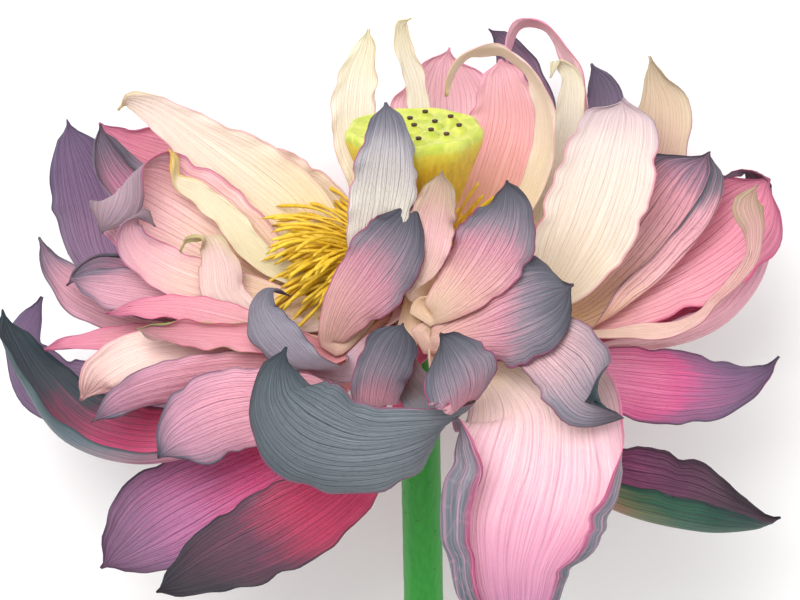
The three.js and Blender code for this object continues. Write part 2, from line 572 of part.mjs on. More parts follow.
// The row of points across a petal at v, for the columns u from -1, left, to 1, right.
const SLICES = 24;
function across(petal, v, columns) {
  const [value, rate] = along(petal, v);
  const tangent = unit(rate.slice(0, 3));
  const raw = value.slice(5);
  const normal = unit(add(raw, tangent, -dot(raw, tangent)));
  const side = cross(tangent, normal);
  let half = Math.max(value[3], 0.6);
  if (petal.round) {
    const t = clamp((v - 1 + petal.round) / petal.round, 0, 1);
    half = Math.max(half * Math.sqrt(1 - t * t), 0.6);
  }
  const ramp = smooth((v - 0.35) / 0.3);
  const reach = [-1, 1].map((sign) => {
    const [hem, from] = sign < 0 ? petal.hem.slice(0, 2) : petal.hem.slice(2);
    const path = [[0, 0]];
    for (let k = 0; k < SLICES; k += 1) {
      const mid = (k + 0.5) / SLICES;
      const angle = radians((value[4] / 2) * mid + hem * smooth((mid - from) / 0.2) * ramp);
      const [x, z] = path[k];
      path.push([x + (Math.cos(angle) * half) / SLICES, z + (Math.sin(angle) * half) / SLICES]);
    }
    return path;
  });
  const [waveHeight, waveCount, wavePhase] = petal.wave;
  const waveRamp = smooth((v - 0.3) / 0.3);
  return columns.map((u) => {
    const sign = u < 0 ? -1 : 1;
    const path = reach[u < 0 ? 0 : 1];
    const t = Math.abs(u) * SLICES;
    const k = Math.min(Math.floor(t), SLICES - 1);
    const x = path[k][0] + (path[k + 1][0] - path[k][0]) * (t - k);
    const z = path[k][1] + (path[k + 1][1] - path[k][1]) * (t - k);
    const ripple = Math.sin(2 * Math.PI * waveCount * v + wavePhase + (u > 0 ? 1.3 : 0));
    const lift = z + waveHeight * u * u * ripple * waveRamp;
    return add(add(value.slice(0, 3), side, sign * x), normal, lift);
  });
}

// ---------------------------------------------------------------- easing the petals apart
// Each petal carries a small lattice of shifts, zero at its root. Where two petals come closer
// than APART, or cross, both are pushed to their own sides a little at a time.
const LATTICE_ROWS = 8;
const LATTICE_COLUMNS = 5;
const PROBE_ROWS = 15;
const PROBE_COLUMNS = 9;
const ROUNDS = 100;

// weights of a clamped cubic B-spline with n control values, at t from 0 to 1
function spline(t, n) {
  const weights = new Array(n).fill(0);
  const s = t * (n - 1);
  const i = Math.min(Math.floor(s), n - 2);
  const f = s - i;
  const part = [(1 - f) ** 3, 3 * f ** 3 - 6 * f * f + 4, -3 * f ** 3 + 3 * f * f + 3 * f + 1, f ** 3];
  part.forEach((w, a) => {
    weights[clamp(i - 1 + a, 0, n - 1)] += w / 6;
  });
  return weights;
}
const rowWeights = (v) => spline(v, LATTICE_ROWS).map((w) => w * smooth(v / 0.12));
const columnWeights = (u) => spline((u + 1) / 2, LATTICE_COLUMNS);

// columns lie closer together towards the margins
const spread = (n) => Array.from({ length: n }, (_, i) => -1 + (2 * i) / (n - 1)).map((s) => s * (1.25 - 0.25 * s * s));
const even = (n) => Array.from({ length: n }, (_, i) => i / (n - 1));

// surface normals of a grid of points, and the outward way at its rim
function gridFrames(points, rows, columns) {
  const normals = [];
  const outward = [];
  for (let r = 0; r < rows; r += 1) {
    for (let c = 0; c < columns; c += 1) {
      const r0 = Math.max(r - 1, 0);
      const r1 = Math.min(r + 1, rows - 1);
      const c0 = Math.max(c - 1, 0);
      const c1 = Math.min(c + 1, columns - 1);
      const dv = scale(add(points[r1 * columns + c], points[r0 * columns + c], -1), 1 / (r1 - r0));
      const du = scale(add(points[r * columns + c1], points[r * columns + c0], -1), 1 / (c1 - c0));
      normals.push(unit(cross(du, dv)));
      let out = [0, 0, 0];
      if (c === columns - 1) out = add(out, du);
      if (c === 0) out = add(out, du, -1);
      if (r === rows - 1) out = add(out, dv);
      if (r === 0) out = add(out, dv, -1);
      outward.push(unit(out));
    }
  }
  return [normals, outward];
}

function easeApart(petals) {
  const rows = even(PROBE_ROWS);
  const columns = spread(PROBE_COLUMNS);
  const rowW = rows.map(rowWeights);
  const columnW = columns.map(columnWeights);
  const count = PROBE_ROWS * PROBE_COLUMNS;
  const forms = petals.map((p) => rows.flatMap((v) => across(p, v, columns)));
  let lattices = petals.map(() => Array.from({ length: LATTICE_ROWS * LATTICE_COLUMNS }, () => [0, 0, 0]));
  const sides = new Map();
  const nearestA = new Int32Array(count);
  const nearestB = new Int32Array(count);
  const distanceA = new Float64Array(count);
  const distanceB = new Float64Array(count);

  for (let round = 0; round < ROUNDS; round += 1) {
    const points = forms.map((form, p) =>
      form.map((base, i) => add(base, shiftBy(lattices[p], rowW[Math.floor(i / PROBE_COLUMNS)], columnW[i % PROBE_COLUMNS]))),
    );
    const frames = points.map((q) => gridFrames(q, PROBE_ROWS, PROBE_COLUMNS));
    const boxes = points.map((q) => [0, 1, 2].map((k) => [Math.min(...q.map((x) => x[k])), Math.max(...q.map((x) => x[k]))]));
    const push = petals.map(() => Array.from({ length: count }, () => [0, 0, 0, 0]));

    for (let a = 0; a < petals.length; a += 1) {
      for (let b = a + 1; b < petals.length; b += 1) {
        if ([0, 1, 2].some((k) => boxes[a][k][0] - 4 > boxes[b][k][1] || boxes[b][k][0] - 4 > boxes[a][k][1])) continue;
        const known = sides.has(a * 100 + b);
        let apart = [0, 0, 0];
        distanceA.fill(Infinity);
        distanceB.fill(Infinity);
        for (let i = 0; i < count; i += 1) {
          const p = points[a][i];
          for (let j = 0; j < count; j += 1) {
            const q = points[b][j];
            const d = (p[0] - q[0]) ** 2 + (p[1] - q[1]) ** 2 + (p[2] - q[2]) ** 2;
            if (!known && d < 81) apart = add(apart, add(p, q, -1), 1 / (d + 4));
            if (d < distanceA[i]) {
              distanceA[i] = d;
              nearestA[i] = j;
            }
            if (d < distanceB[j]) {
              distanceB[j] = d;
              nearestB[j] = i;
            }
          }
        }
        if (!known) {
          if (size(apart) === 0) continue;
          sides.set(a * 100 + b, unit(apart));
        }
        const way = sides.get(a * 100 + b);
        for (const [one, two, nearest, distance, side] of [
          [a, b, nearestA, distanceA, way],
          [b, a, nearestB, distanceB, scale(way, -1)],
        ]) {
          for (let i = 0; i < count; i += 1) {
            if (distance[i] >= 64) continue;
            const j = nearest[i];
            const gap = add(points[one][i], points[two][j], -1);
            const normal = frames[two][0][j];
            const depth = dot(gap, normal);
            const length = size(gap);
            const lateral = Math.sqrt(Math.max(length * length - depth * depth, 0));
            const beside = dot(gap, frames[two][1][j]) > 0.8;
            const facing = dot(normal, side);
            let need = 0;
            let direction = scale(normal, facing >= 0 ? 1 : -1);
            if (!beside && lateral < 5 && Math.abs(facing) > 0.1) {
              need = APART - depth * (facing >= 0 ? 1 : -1);
            } else if (beside && length < APART) {
              need = APART - length;
              direction = unit(gap);
            }
            if (need <= 0.02) continue;
            const step = scale(direction, 0.5 * Math.min(need, 3));
            [[push[one][i], 1], [push[two][j], -1]].forEach(([sum, sign]) => {
              for (let k = 0; k < 3; k += 1) sum[k] += sign * step[k];
              sum[3] += 1;
            });
          }
        }
      }
    }

    lattices = lattices.map((lattice, p) => {
      const total = lattice.map(() => [0, 0, 0, 0]);
      points[p].forEach((q, i) => {
        const sum = push[p][i];
        const height = dot(q, UP);
        const radial = add(q, UP, -height);
        const radius = size(radial);
        const inside = receptacleRadius(height) + 1.2 - radius;
        if (inside > 0 && height > -5 && height < 66 && i >= 2 * PROBE_COLUMNS) {
          for (let k = 0; k < 3; k += 1) sum[k] += (radial[k] / radius) * inside;
          sum[3] += 1;
        }
        const under = TABLE + 0.5 - q[2];
        if (under > 0) {
          sum[2] += under;
          sum[3] += 1;
        }
        if (sum[3] === 0) return;
        const vs = rowW[Math.floor(i / PROBE_COLUMNS)];
        const us = columnW[i % PROBE_COLUMNS];
        for (let r = 0; r < LATTICE_ROWS; r += 1) {
          for (let c = 0; c < LATTICE_COLUMNS; c += 1) {
            const w = vs[r] * us[c];
            if (w === 0) continue;
            const t = total[r * LATTICE_COLUMNS + c];
            for (let k = 0; k < 3; k += 1) t[k] += (w * sum[k]) / sum[3];
            t[3] += w;
          }
        }
      });
      const moved = lattice.map((s, i) => add(s, total[i], 0.9 / Math.max(total[i][3], 0.3)));
      return moved.map((s, i) => {
        const r = Math.floor(i / LATTICE_COLUMNS);
        const c = i % LATTICE_COLUMNS;
        const pick = (y, x) => moved[clamp(y, 0, LATTICE_ROWS - 1) * LATTICE_COLUMNS + clamp(x, 0, LATTICE_COLUMNS - 1)];
        let mean = add(pick(r + 1, c), pick(r - 1, c));
        mean = add(add(mean, pick(r, c + 1)), pick(r, c - 1));
        return add(scale(s, 0.88), mean, 0.03);
      });
    });
  }
  return lattices;
}

function shiftBy(lattice, vs, us) {
  let sum = [0, 0, 0];
  for (let r = 0; r < LATTICE_ROWS; r += 1) {
    if (vs[r] === 0) continue;
    for (let c = 0; c < LATTICE_COLUMNS; c += 1) {
      if (us[c] !== 0) sum = add(sum, lattice[r * LATTICE_COLUMNS + c], vs[r] * us[c]);
    }
  }
  return sum;
}

// ---------------------------------------------------------------- solids
const solids = new Map();

function solid(points, triangles) {
  const mesh = new wasm.Mesh({
    numProp: 3,
    vertProperties: Float32Array.from(points.flat()),
    triVerts: Uint32Array.from(triangles.flat()),
  });
  return new wasm.Manifold(mesh);
}

function solidOf(geometry) {
  const bare = geometry.clone();
  bare.deleteAttribute("normal");
  bare.deleteAttribute("uv");
  const merged = mergeVertices(bare, 1e-4);
  const { array } = merged.getAttribute("position");
  const mesh = new wasm.Mesh({
    numProp: 3,
    vertProperties: Float32Array.from(array),
    triVerts: Uint32Array.from(merged.getIndex().array),
  });
  return new wasm.Manifold(mesh);
}

const biggest = (body) => body.decompose().sort((a, b) => b.volume() - a.volume())[0];

// columns and rows of a petal's faceted blade: closer at a folded margin, and at tight curls
function bladeGrid(petal) {
  const widest = Math.max(...petal.knots.map((k) => k[3]));
  const margin = (hem, from) => {
    if (Math.abs(hem) > 60) return from < 0.76 ? [from * 0.5, from, from + 0.2, 1] : [from * 0.5, from, 1];
    return widest < 10 ? [0.55, 1] : [0.4, 0.75, 1];
  };
  const [hemLeft, fromLeft, hemRight, fromRight] = petal.hem;
  const columns = [...margin(hemLeft, fromLeft).reverse().map((u) => -u), 0, ...margin(hemRight, fromRight)];
  const rows = [0];
  for (let i = 1; i < petal.share.length; i += 1) {
    const gap = petal.share[i] - petal.share[i - 1];
    if (gap > 0.22 && i > 1) rows.push(petal.share[i] - gap / 2);
    rows.push(petal.share[i]);
  }
  if (petal.round) rows.splice(rows.length - 1, 0, 1 - petal.round * 0.35);
  return [[...new Set(rows)].sort((a, b) => a - b), [...new Set(columns)]];
}

// a blade of even thickness, its two faces split into triangles alike
function bladeSolid(petal, lattice, thickness) {
  const [rows, columns] = bladeGrid(petal);
  const n = columns.length;
  const middle = rows.flatMap((v) => {
    const vs = rowWeights(v);
    return across(petal, v, columns).map((q, c) => add(q, shiftBy(lattice, vs, columnWeights(columns[c]))));
  });
  const [normals, outward] = gridFrames(middle, rows.length, n);
  const lowest = TABLE + thickness / 2;
  const beyond = (thickness - BLADE) / 2;
  const faces = [1, -1].map((side) =>
    middle.map((q, i) => {
      const low = add([q[0], q[1], Math.max(q[2], lowest)], outward[i], beyond);
      const p = add(low, normals[i], (side * thickness) / 2);
      return [p[0], p[1], Math.max(p[2], TABLE)];
    }),
  );
  const points = [...faces[0], ...faces[1]];
  const below = middle.length;
  const triangles = [];
  for (let r = 0; r < rows.length - 1; r += 1) {
    for (let c = 0; c < n - 1; c += 1) {
      const [a, b, d, e] = [r * n + c, r * n + c + 1, (r + 1) * n + c, (r + 1) * n + c + 1];
      triangles.push([a, b, e], [a, e, d]);
      triangles.push([below + a, below + e, below + b], [below + a, below + d, below + e]);
    }
  }
  const rim = [];
  for (let c = 0; c < n - 1; c += 1) rim.push([c + 1, c]);
  for (let r = 0; r < rows.length - 1; r += 1) rim.push([r * n, (r + 1) * n]);
  for (let c = 0; c < n - 1; c += 1) rim.push([(rows.length - 1) * n + c, (rows.length - 1) * n + c + 1]);
  for (let r = rows.length - 1; r > 0; r -= 1) rim.push([r * n + n - 1, (r - 1) * n + n - 1]);
  rim.forEach(([p, q]) => triangles.push([p, q, below + q], [p, below + q, below + p]));
  return solid(points, triangles);
}

// stands a lathe or cylinder, made along +Y, on the flower's axis
const UPRIGHT = new THREE.Matrix4().makeBasis(
  new THREE.Vector3(...RIGHT), new THREE.Vector3(...UP), new THREE.Vector3(...scale(BACK, -1)),
);

function makeReceptacle() {
  const profile = [[RECEPTACLE[0][0], 0], ...RECEPTACLE, [59.6, 0]];
  const shape = new THREE.LatheGeometry(profile.map(([h, r]) => new THREE.Vector2(r, h)), RECEPTACLE_SIDES);
  const place = shape.getAttribute("position");
  for (let i = 0; i < place.count; i += 1) {
    const [x, y, z] = [place.getX(i), place.getY(i), place.getZ(i)];
    const swell = 1 + (LIP_WAVE / 20) * Math.sin(9 * Math.atan2(z, x)) * smooth((y - 45) / 14) * smooth(Math.hypot(x, z) / 16);
    place.setXYZ(i, x * swell, y, z * swell);
  }
  let body = solidOf(shape.applyMatrix4(UPRIGHT));
  CARPEL_RINGS.forEach(([count, radius]) => {
    for (let i = 0; i < count; i += 1) {
      const nub = new THREE.CylinderGeometry(CARPEL_RADIUS * 0.6, CARPEL_RADIUS, CARPEL_HEIGHT + 1.5, 5);
      const turn = (2 * Math.PI * i) / count + radius * 0.11;
      nub.translate(radius * Math.cos(turn), 59.8 + (CARPEL_HEIGHT - 1.5) / 2, radius * Math.sin(turn));
      body = body.add(solidOf(nub.applyMatrix4(UPRIGHT)));
    }
  });
  return biggest(body);
}

function makeStalk() {
  const top = RECEPTACLE[0][0] - SEAT;
  const rim = STALK_RADIUS * Math.cos(Math.PI / STALK_SIDES) * Math.hypot(BACK[2], RIGHT[2]);
  const length = top + (-TABLE - rim) / UP[2];
  const rod = new THREE.CylinderGeometry(STALK_RADIUS, STALK_RADIUS, length, STALK_SIDES, 2);
  rod.rotateY(Math.PI / STALK_SIDES).translate(0, top - length / 2, 0);
  return solidOf(rod.applyMatrix4(UPRIGHT));
}

// a fixed sequence of numbers from 0 to 1
function sequence(seed) {
  let state = seed;
  return () => {
    state = (state * 16807) % 2147483647;
    return state / 2147483647;
  };
}

// A stamen leaves the collar, bends outwards and droops; its anther is the thicker far part.
function filamentPath(i, next) {
  const left = i < FILAMENTS * 0.8;
  const azimuth = left ? 128 + 150 * ((i + next()) / (FILAMENTS * 0.8)) : 300 + 130 * next();
  const length = left ? 27 + 9 * next() : 15 + 9 * next();
  const rise = 0.1 + 0.5 * next();
  const bend = (next() - 0.5) * 26;
  const start = ring(azimuth, 8.2, 17.8);
  const path = [start];
  for (let k = 1; k <= 4; k += 1) {
    const t = k / 4;
    const p = ring(azimuth + bend * t * t, 8.2 + length * t, 17.8 + length * (rise * t - 0.55 * t * t));
    path.push(p);
  }
  return path;
}

function rod(path, radii, sides) {
  const points = [];
  path.forEach((p, i) => {
    const ahead = path[Math.min(i + 1, path.length - 1)];
    const behind = path[Math.max(i - 1, 0)];
    const tangent = unit(add(ahead, behind, -1));
    const across1 = unit(cross(tangent, UP));
    const across2 = cross(tangent, across1);
    for (let s = 0; s < sides; s += 1) {
      const a = (2 * Math.PI * s) / sides;
      points.push(add(add(p, across1, radii[i] * Math.cos(a)), across2, radii[i] * Math.sin(a)));
    }
  });
  const triangles = [];
  for (let i = 0; i < path.length - 1; i += 1) {
    for (let s = 0; s < sides; s += 1) {
      const t = (s + 1) % sides;
      const [a, b, c, d] = [i * sides + s, i * sides + t, (i + 1) * sides + s, (i + 1) * sides + t];
      triangles.push([a, b, d], [a, d, c]);
    }
  }
  const last = (path.length - 1) * sides;
  for (let s = 1; s < sides - 1; s += 1) {
    triangles.push([0, s + 1, s], [last, last + s, last + s + 1]);
  }
  const body = solid(points, triangles);
  return body.volume() > 0 ? body : solid(points, triangles.map(([a, b, c]) => [a, c, b]));
}

function makeStamens() {
  const [low, high, inner, outer] = COLLAR;
  const outline = [[inner, low], [outer, low], [outer, high], [inner, high], [inner, low]];
  const collar = new THREE.LatheGeometry(outline.map(([r, h]) => new THREE.Vector2(r, h)), 18);
  let body = solidOf(collar.applyMatrix4(UPRIGHT));
  const next = sequence(11);
  const radii = [1, 1, 1.2, 1.8, 1].map((k) => k * FILAMENT_RADIUS);
  for (let i = 0; i < FILAMENTS; i += 1) {
    body = body.add(rod(filamentPath(i, next), radii, 3));
  }
  return body;
}

// ---------------------------------------------------------------- assembly
const petals = PETALS.map(prepare);
const lattices = easeApart(petals);
petals.forEach((petal, i) => solids.set(`petal_${petal.name}`, bladeSolid(petal, lattices[i], BLADE)));

const receptacle = makeReceptacle();
const stalk = makeStalk();
let stamens = makeStamens();

const boxesMeet = (a, b) => {
  const [p, q] = [a.boundingBox(), b.boundingBox()];
  return [0, 1, 2].every((k) => p.min[k] < q.max[k] + 1 && q.min[k] < p.max[k] + 1);
};

// Where two petals still cross, the smaller one stops short of the other.
const volumes = new Map([...solids].map(([name, body]) => [name, body.volume()]));
const inOrder = petals.map((petal, i) => [`petal_${petal.name}`, i]).sort((a, b) => volumes.get(b[0]) - volumes.get(a[0]));
inOrder.forEach(([name], place) => {
  inOrder.slice(0, place).forEach(([other, index]) => {
    const body = solids.get(name);
    if (!boxesMeet(body, solids.get(other)) || body.intersect(solids.get(other)).volume() < 1e-6) return;
    const fence = bladeSolid(petals[index], lattices[index], BLADE + 2 * SEAT);
    solids.set(name, biggest(body.subtract(fence).subtract(solids.get(other))));
  });
});

// the receptacle, the stalk and the stamens keep clear of the petals
inOrder.forEach(([name, index]) => {
  const body = solids.get(name);
  [receptacle, stalk].forEach((core) => {
    if (boxesMeet(body, core) && body.intersect(core).volume() > 1e-6) {
      solids.set(name, biggest(solids.get(name).subtract(core)));
    }
  });
  if (boxesMeet(body, stamens)) {
    stamens = stamens.subtract(bladeSolid(petals[index], lattices[index], BLADE + 2 * SEAT)).subtract(body);
  }
});
stamens = biggest(stamens.subtract(receptacle));
solids.set("receptacle", receptacle);
solids.set("stem", stalk);
solids.set("stamens", stamens);

// The origin is under the middle of the whole flower, on the table.
const low = [Infinity, Infinity, Infinity];
const high = [-Infinity, -Infinity, -Infinity];
solids.forEach((body) => {
  const box = body.boundingBox();
  for (let k = 0; k < 3; k += 1) {
    low[k] = Math.min(low[k], box.min[k]);
    high[k] = Math.max(high[k], box.max[k]);
  }
});
const shift = [-(low[0] + high[0]) / 2, -(low[1] + high[1]) / 2, -low[2]];

// one colour for each part of the flower
const TINTS = {
  back: "#e9a0b4", right: "#d96a92", centre: "#f3e0c4", front: "#c9a8b4", left: "#a98a9c", under: "#8f9a6a",
  receptacle: "#b9c24a", stem: "#4f7a35", stamens: "#efd9a0",
};
const materials = {};
Object.entries(TINTS).forEach(([kind, color]) => {
  materials[kind] = new THREE.MeshStandardMaterial({ color, roughness: 0.6, metalness: 0 });
  materials[kind].name = kind;
});

const flower = new THREE.Group();
flower.name = "lotus_flower";
solids.forEach((body, name) => {
  const mesh = body.getMesh();
  const geometry = new THREE.BufferGeometry();
  const place = Float32Array.from(mesh.vertProperties);
  geometry.setAttribute("position", new THREE.BufferAttribute(place, 3));
  geometry.setIndex(new THREE.BufferAttribute(Uint32Array.from(mesh.triVerts), 1));
  geometry.translate(...shift);
  geometry.computeVertexNormals();
  const kind = name.startsWith("petal_") ? name.split("_")[1] : name;
  const piece = new THREE.Mesh(geometry, materials[kind]);
  piece.name = name;
  flower.add(piece);
});

export default flower;
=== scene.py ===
"""Dresses the cut lotus flower: fine petals with veins, seed receptacle, stamens, stalk and stage."""

from functools import lru_cache
from math import cos, pi, radians, sin

import bmesh
import bpy
import numpy as np
from bpy.props import FloatProperty, FloatVectorProperty, IntProperty, PointerProperty
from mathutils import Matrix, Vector


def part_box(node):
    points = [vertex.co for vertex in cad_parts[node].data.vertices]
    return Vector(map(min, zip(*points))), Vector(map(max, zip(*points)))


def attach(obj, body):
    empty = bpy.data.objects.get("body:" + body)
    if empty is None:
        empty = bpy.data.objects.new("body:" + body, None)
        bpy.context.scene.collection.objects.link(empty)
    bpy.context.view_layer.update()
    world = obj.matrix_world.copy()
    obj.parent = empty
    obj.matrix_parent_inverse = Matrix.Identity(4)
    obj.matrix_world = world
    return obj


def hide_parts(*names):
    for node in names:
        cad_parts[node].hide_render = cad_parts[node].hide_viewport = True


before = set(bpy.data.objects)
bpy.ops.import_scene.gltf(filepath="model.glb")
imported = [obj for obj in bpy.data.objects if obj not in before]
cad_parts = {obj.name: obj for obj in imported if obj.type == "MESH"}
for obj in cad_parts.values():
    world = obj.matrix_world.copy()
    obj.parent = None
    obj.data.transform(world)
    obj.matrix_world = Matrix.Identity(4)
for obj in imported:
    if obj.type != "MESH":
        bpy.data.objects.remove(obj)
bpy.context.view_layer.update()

bl_info = {
    "name": "Lotus flower",
    "version": (1, 0, 0),
    "blender": (4, 5, 0),
    "location": "View3D > Sidebar > Lotus",
    "description": "A cut double lotus flower that lies on its back petals",
    "category": "Add Mesh",
}

# ---------------------------------------------------------------- the flower's plan, millimetres and degrees
# It is laid out round the base of the receptacle, as its solids are, and moved to the row's origin last.
TABLE = -75.0
SEAT = 0.3  # gap between a petal's claw and the receptacle
APART = 1.7  # least distance between two petals' middle surfaces
TIER_FOOT, TIER_STEP = 1.5, 2.0  # heights of the petals' roots
CLAW = 3.2  # half-width of a petal where it grows from the receptacle
STALK_RADIUS = 6.0
STALK_SIDES = 20  # of the solid stalk
UP = np.array([-0.02, 0.945, 0.326])
UP /= np.linalg.norm(UP)
RIGHT = np.array([1.0, 0.0, 0.0]) - UP[0] * UP
RIGHT /= np.linalg.norm(RIGHT)
BACK = np.cross(UP, RIGHT)
RECEPTACLE = np.array([
    (-5, 6), (-3, 10.8), (0, 11), (16, 9), (16.3, 6.5), (20.5, 6.5), (24, 7.5), (40, 14),
    (49, 17.6), (57, 20.3), (60, 20.4), (61, 18.8), (60, 17),
])  # height on the axis, radius
CARPELS = ((1, 0), (5, 7), (9, 13.4))  # how many, and the radius of their ring


class Petal:
    """A petal's root, its stations from claw to tip, and what folds, ripples and colours it."""

    def __init__(self, root, skin, stations, hem=(0, 1, 0, 1), wave=(0, 0, 0), blunt=0.0):
        self.skin, self.hem, self.wave, self.blunt = skin, hem, wave, blunt
        azimuth, tier = root
        height = TIER_FOOT + TIER_STEP * tier
        radius = side_radius(height) + SEAT
        claw = [
            (*ring(azimuth, radius, height), CLAW, 0, *UP),
            (*ring(azimuth, radius + 6, height + 1), CLAW + 1, 20, *UP),
        ]
        self.knots = np.array(claw + [tuple(s) for s in stations], float)
        self.knots[:, 5:] /= np.linalg.norm(self.knots[:, 5:], axis=1)[:, None]
        steps = np.linalg.norm(np.diff(self.knots[:, :3], axis=0), axis=1)
        self.share = np.concatenate([[0], np.cumsum(steps)]) / steps.sum()
        after = np.minimum(np.arange(len(self.knots)) + 1, len(self.knots) - 1)
        before = np.maximum(np.arange(len(self.knots)) - 1, 0)
        run = (self.share[after] - self.share[before])[:, None]
        self.slopes = (self.knots[after] - self.knots[before]) / run


def side_radius(height):
    """Radius of the receptacle's side at a height on the axis, up to its rim."""
    rim = RECEPTACLE[:, 0].argmax()
    return np.interp(height, *RECEPTACLE[:rim].T)


def ring(azimuth, radius, height):
    """The point at an azimuth, 0 to the right and 90 to the back, round the flower's axis."""
    turn = radians(azimuth)
    return UP * height + radius * (cos(turn) * RIGHT + sin(turn) * BACK)


def smooth(t):
    t = np.clip(t, 0, 1)
    return t * t * (3 - 2 * t)


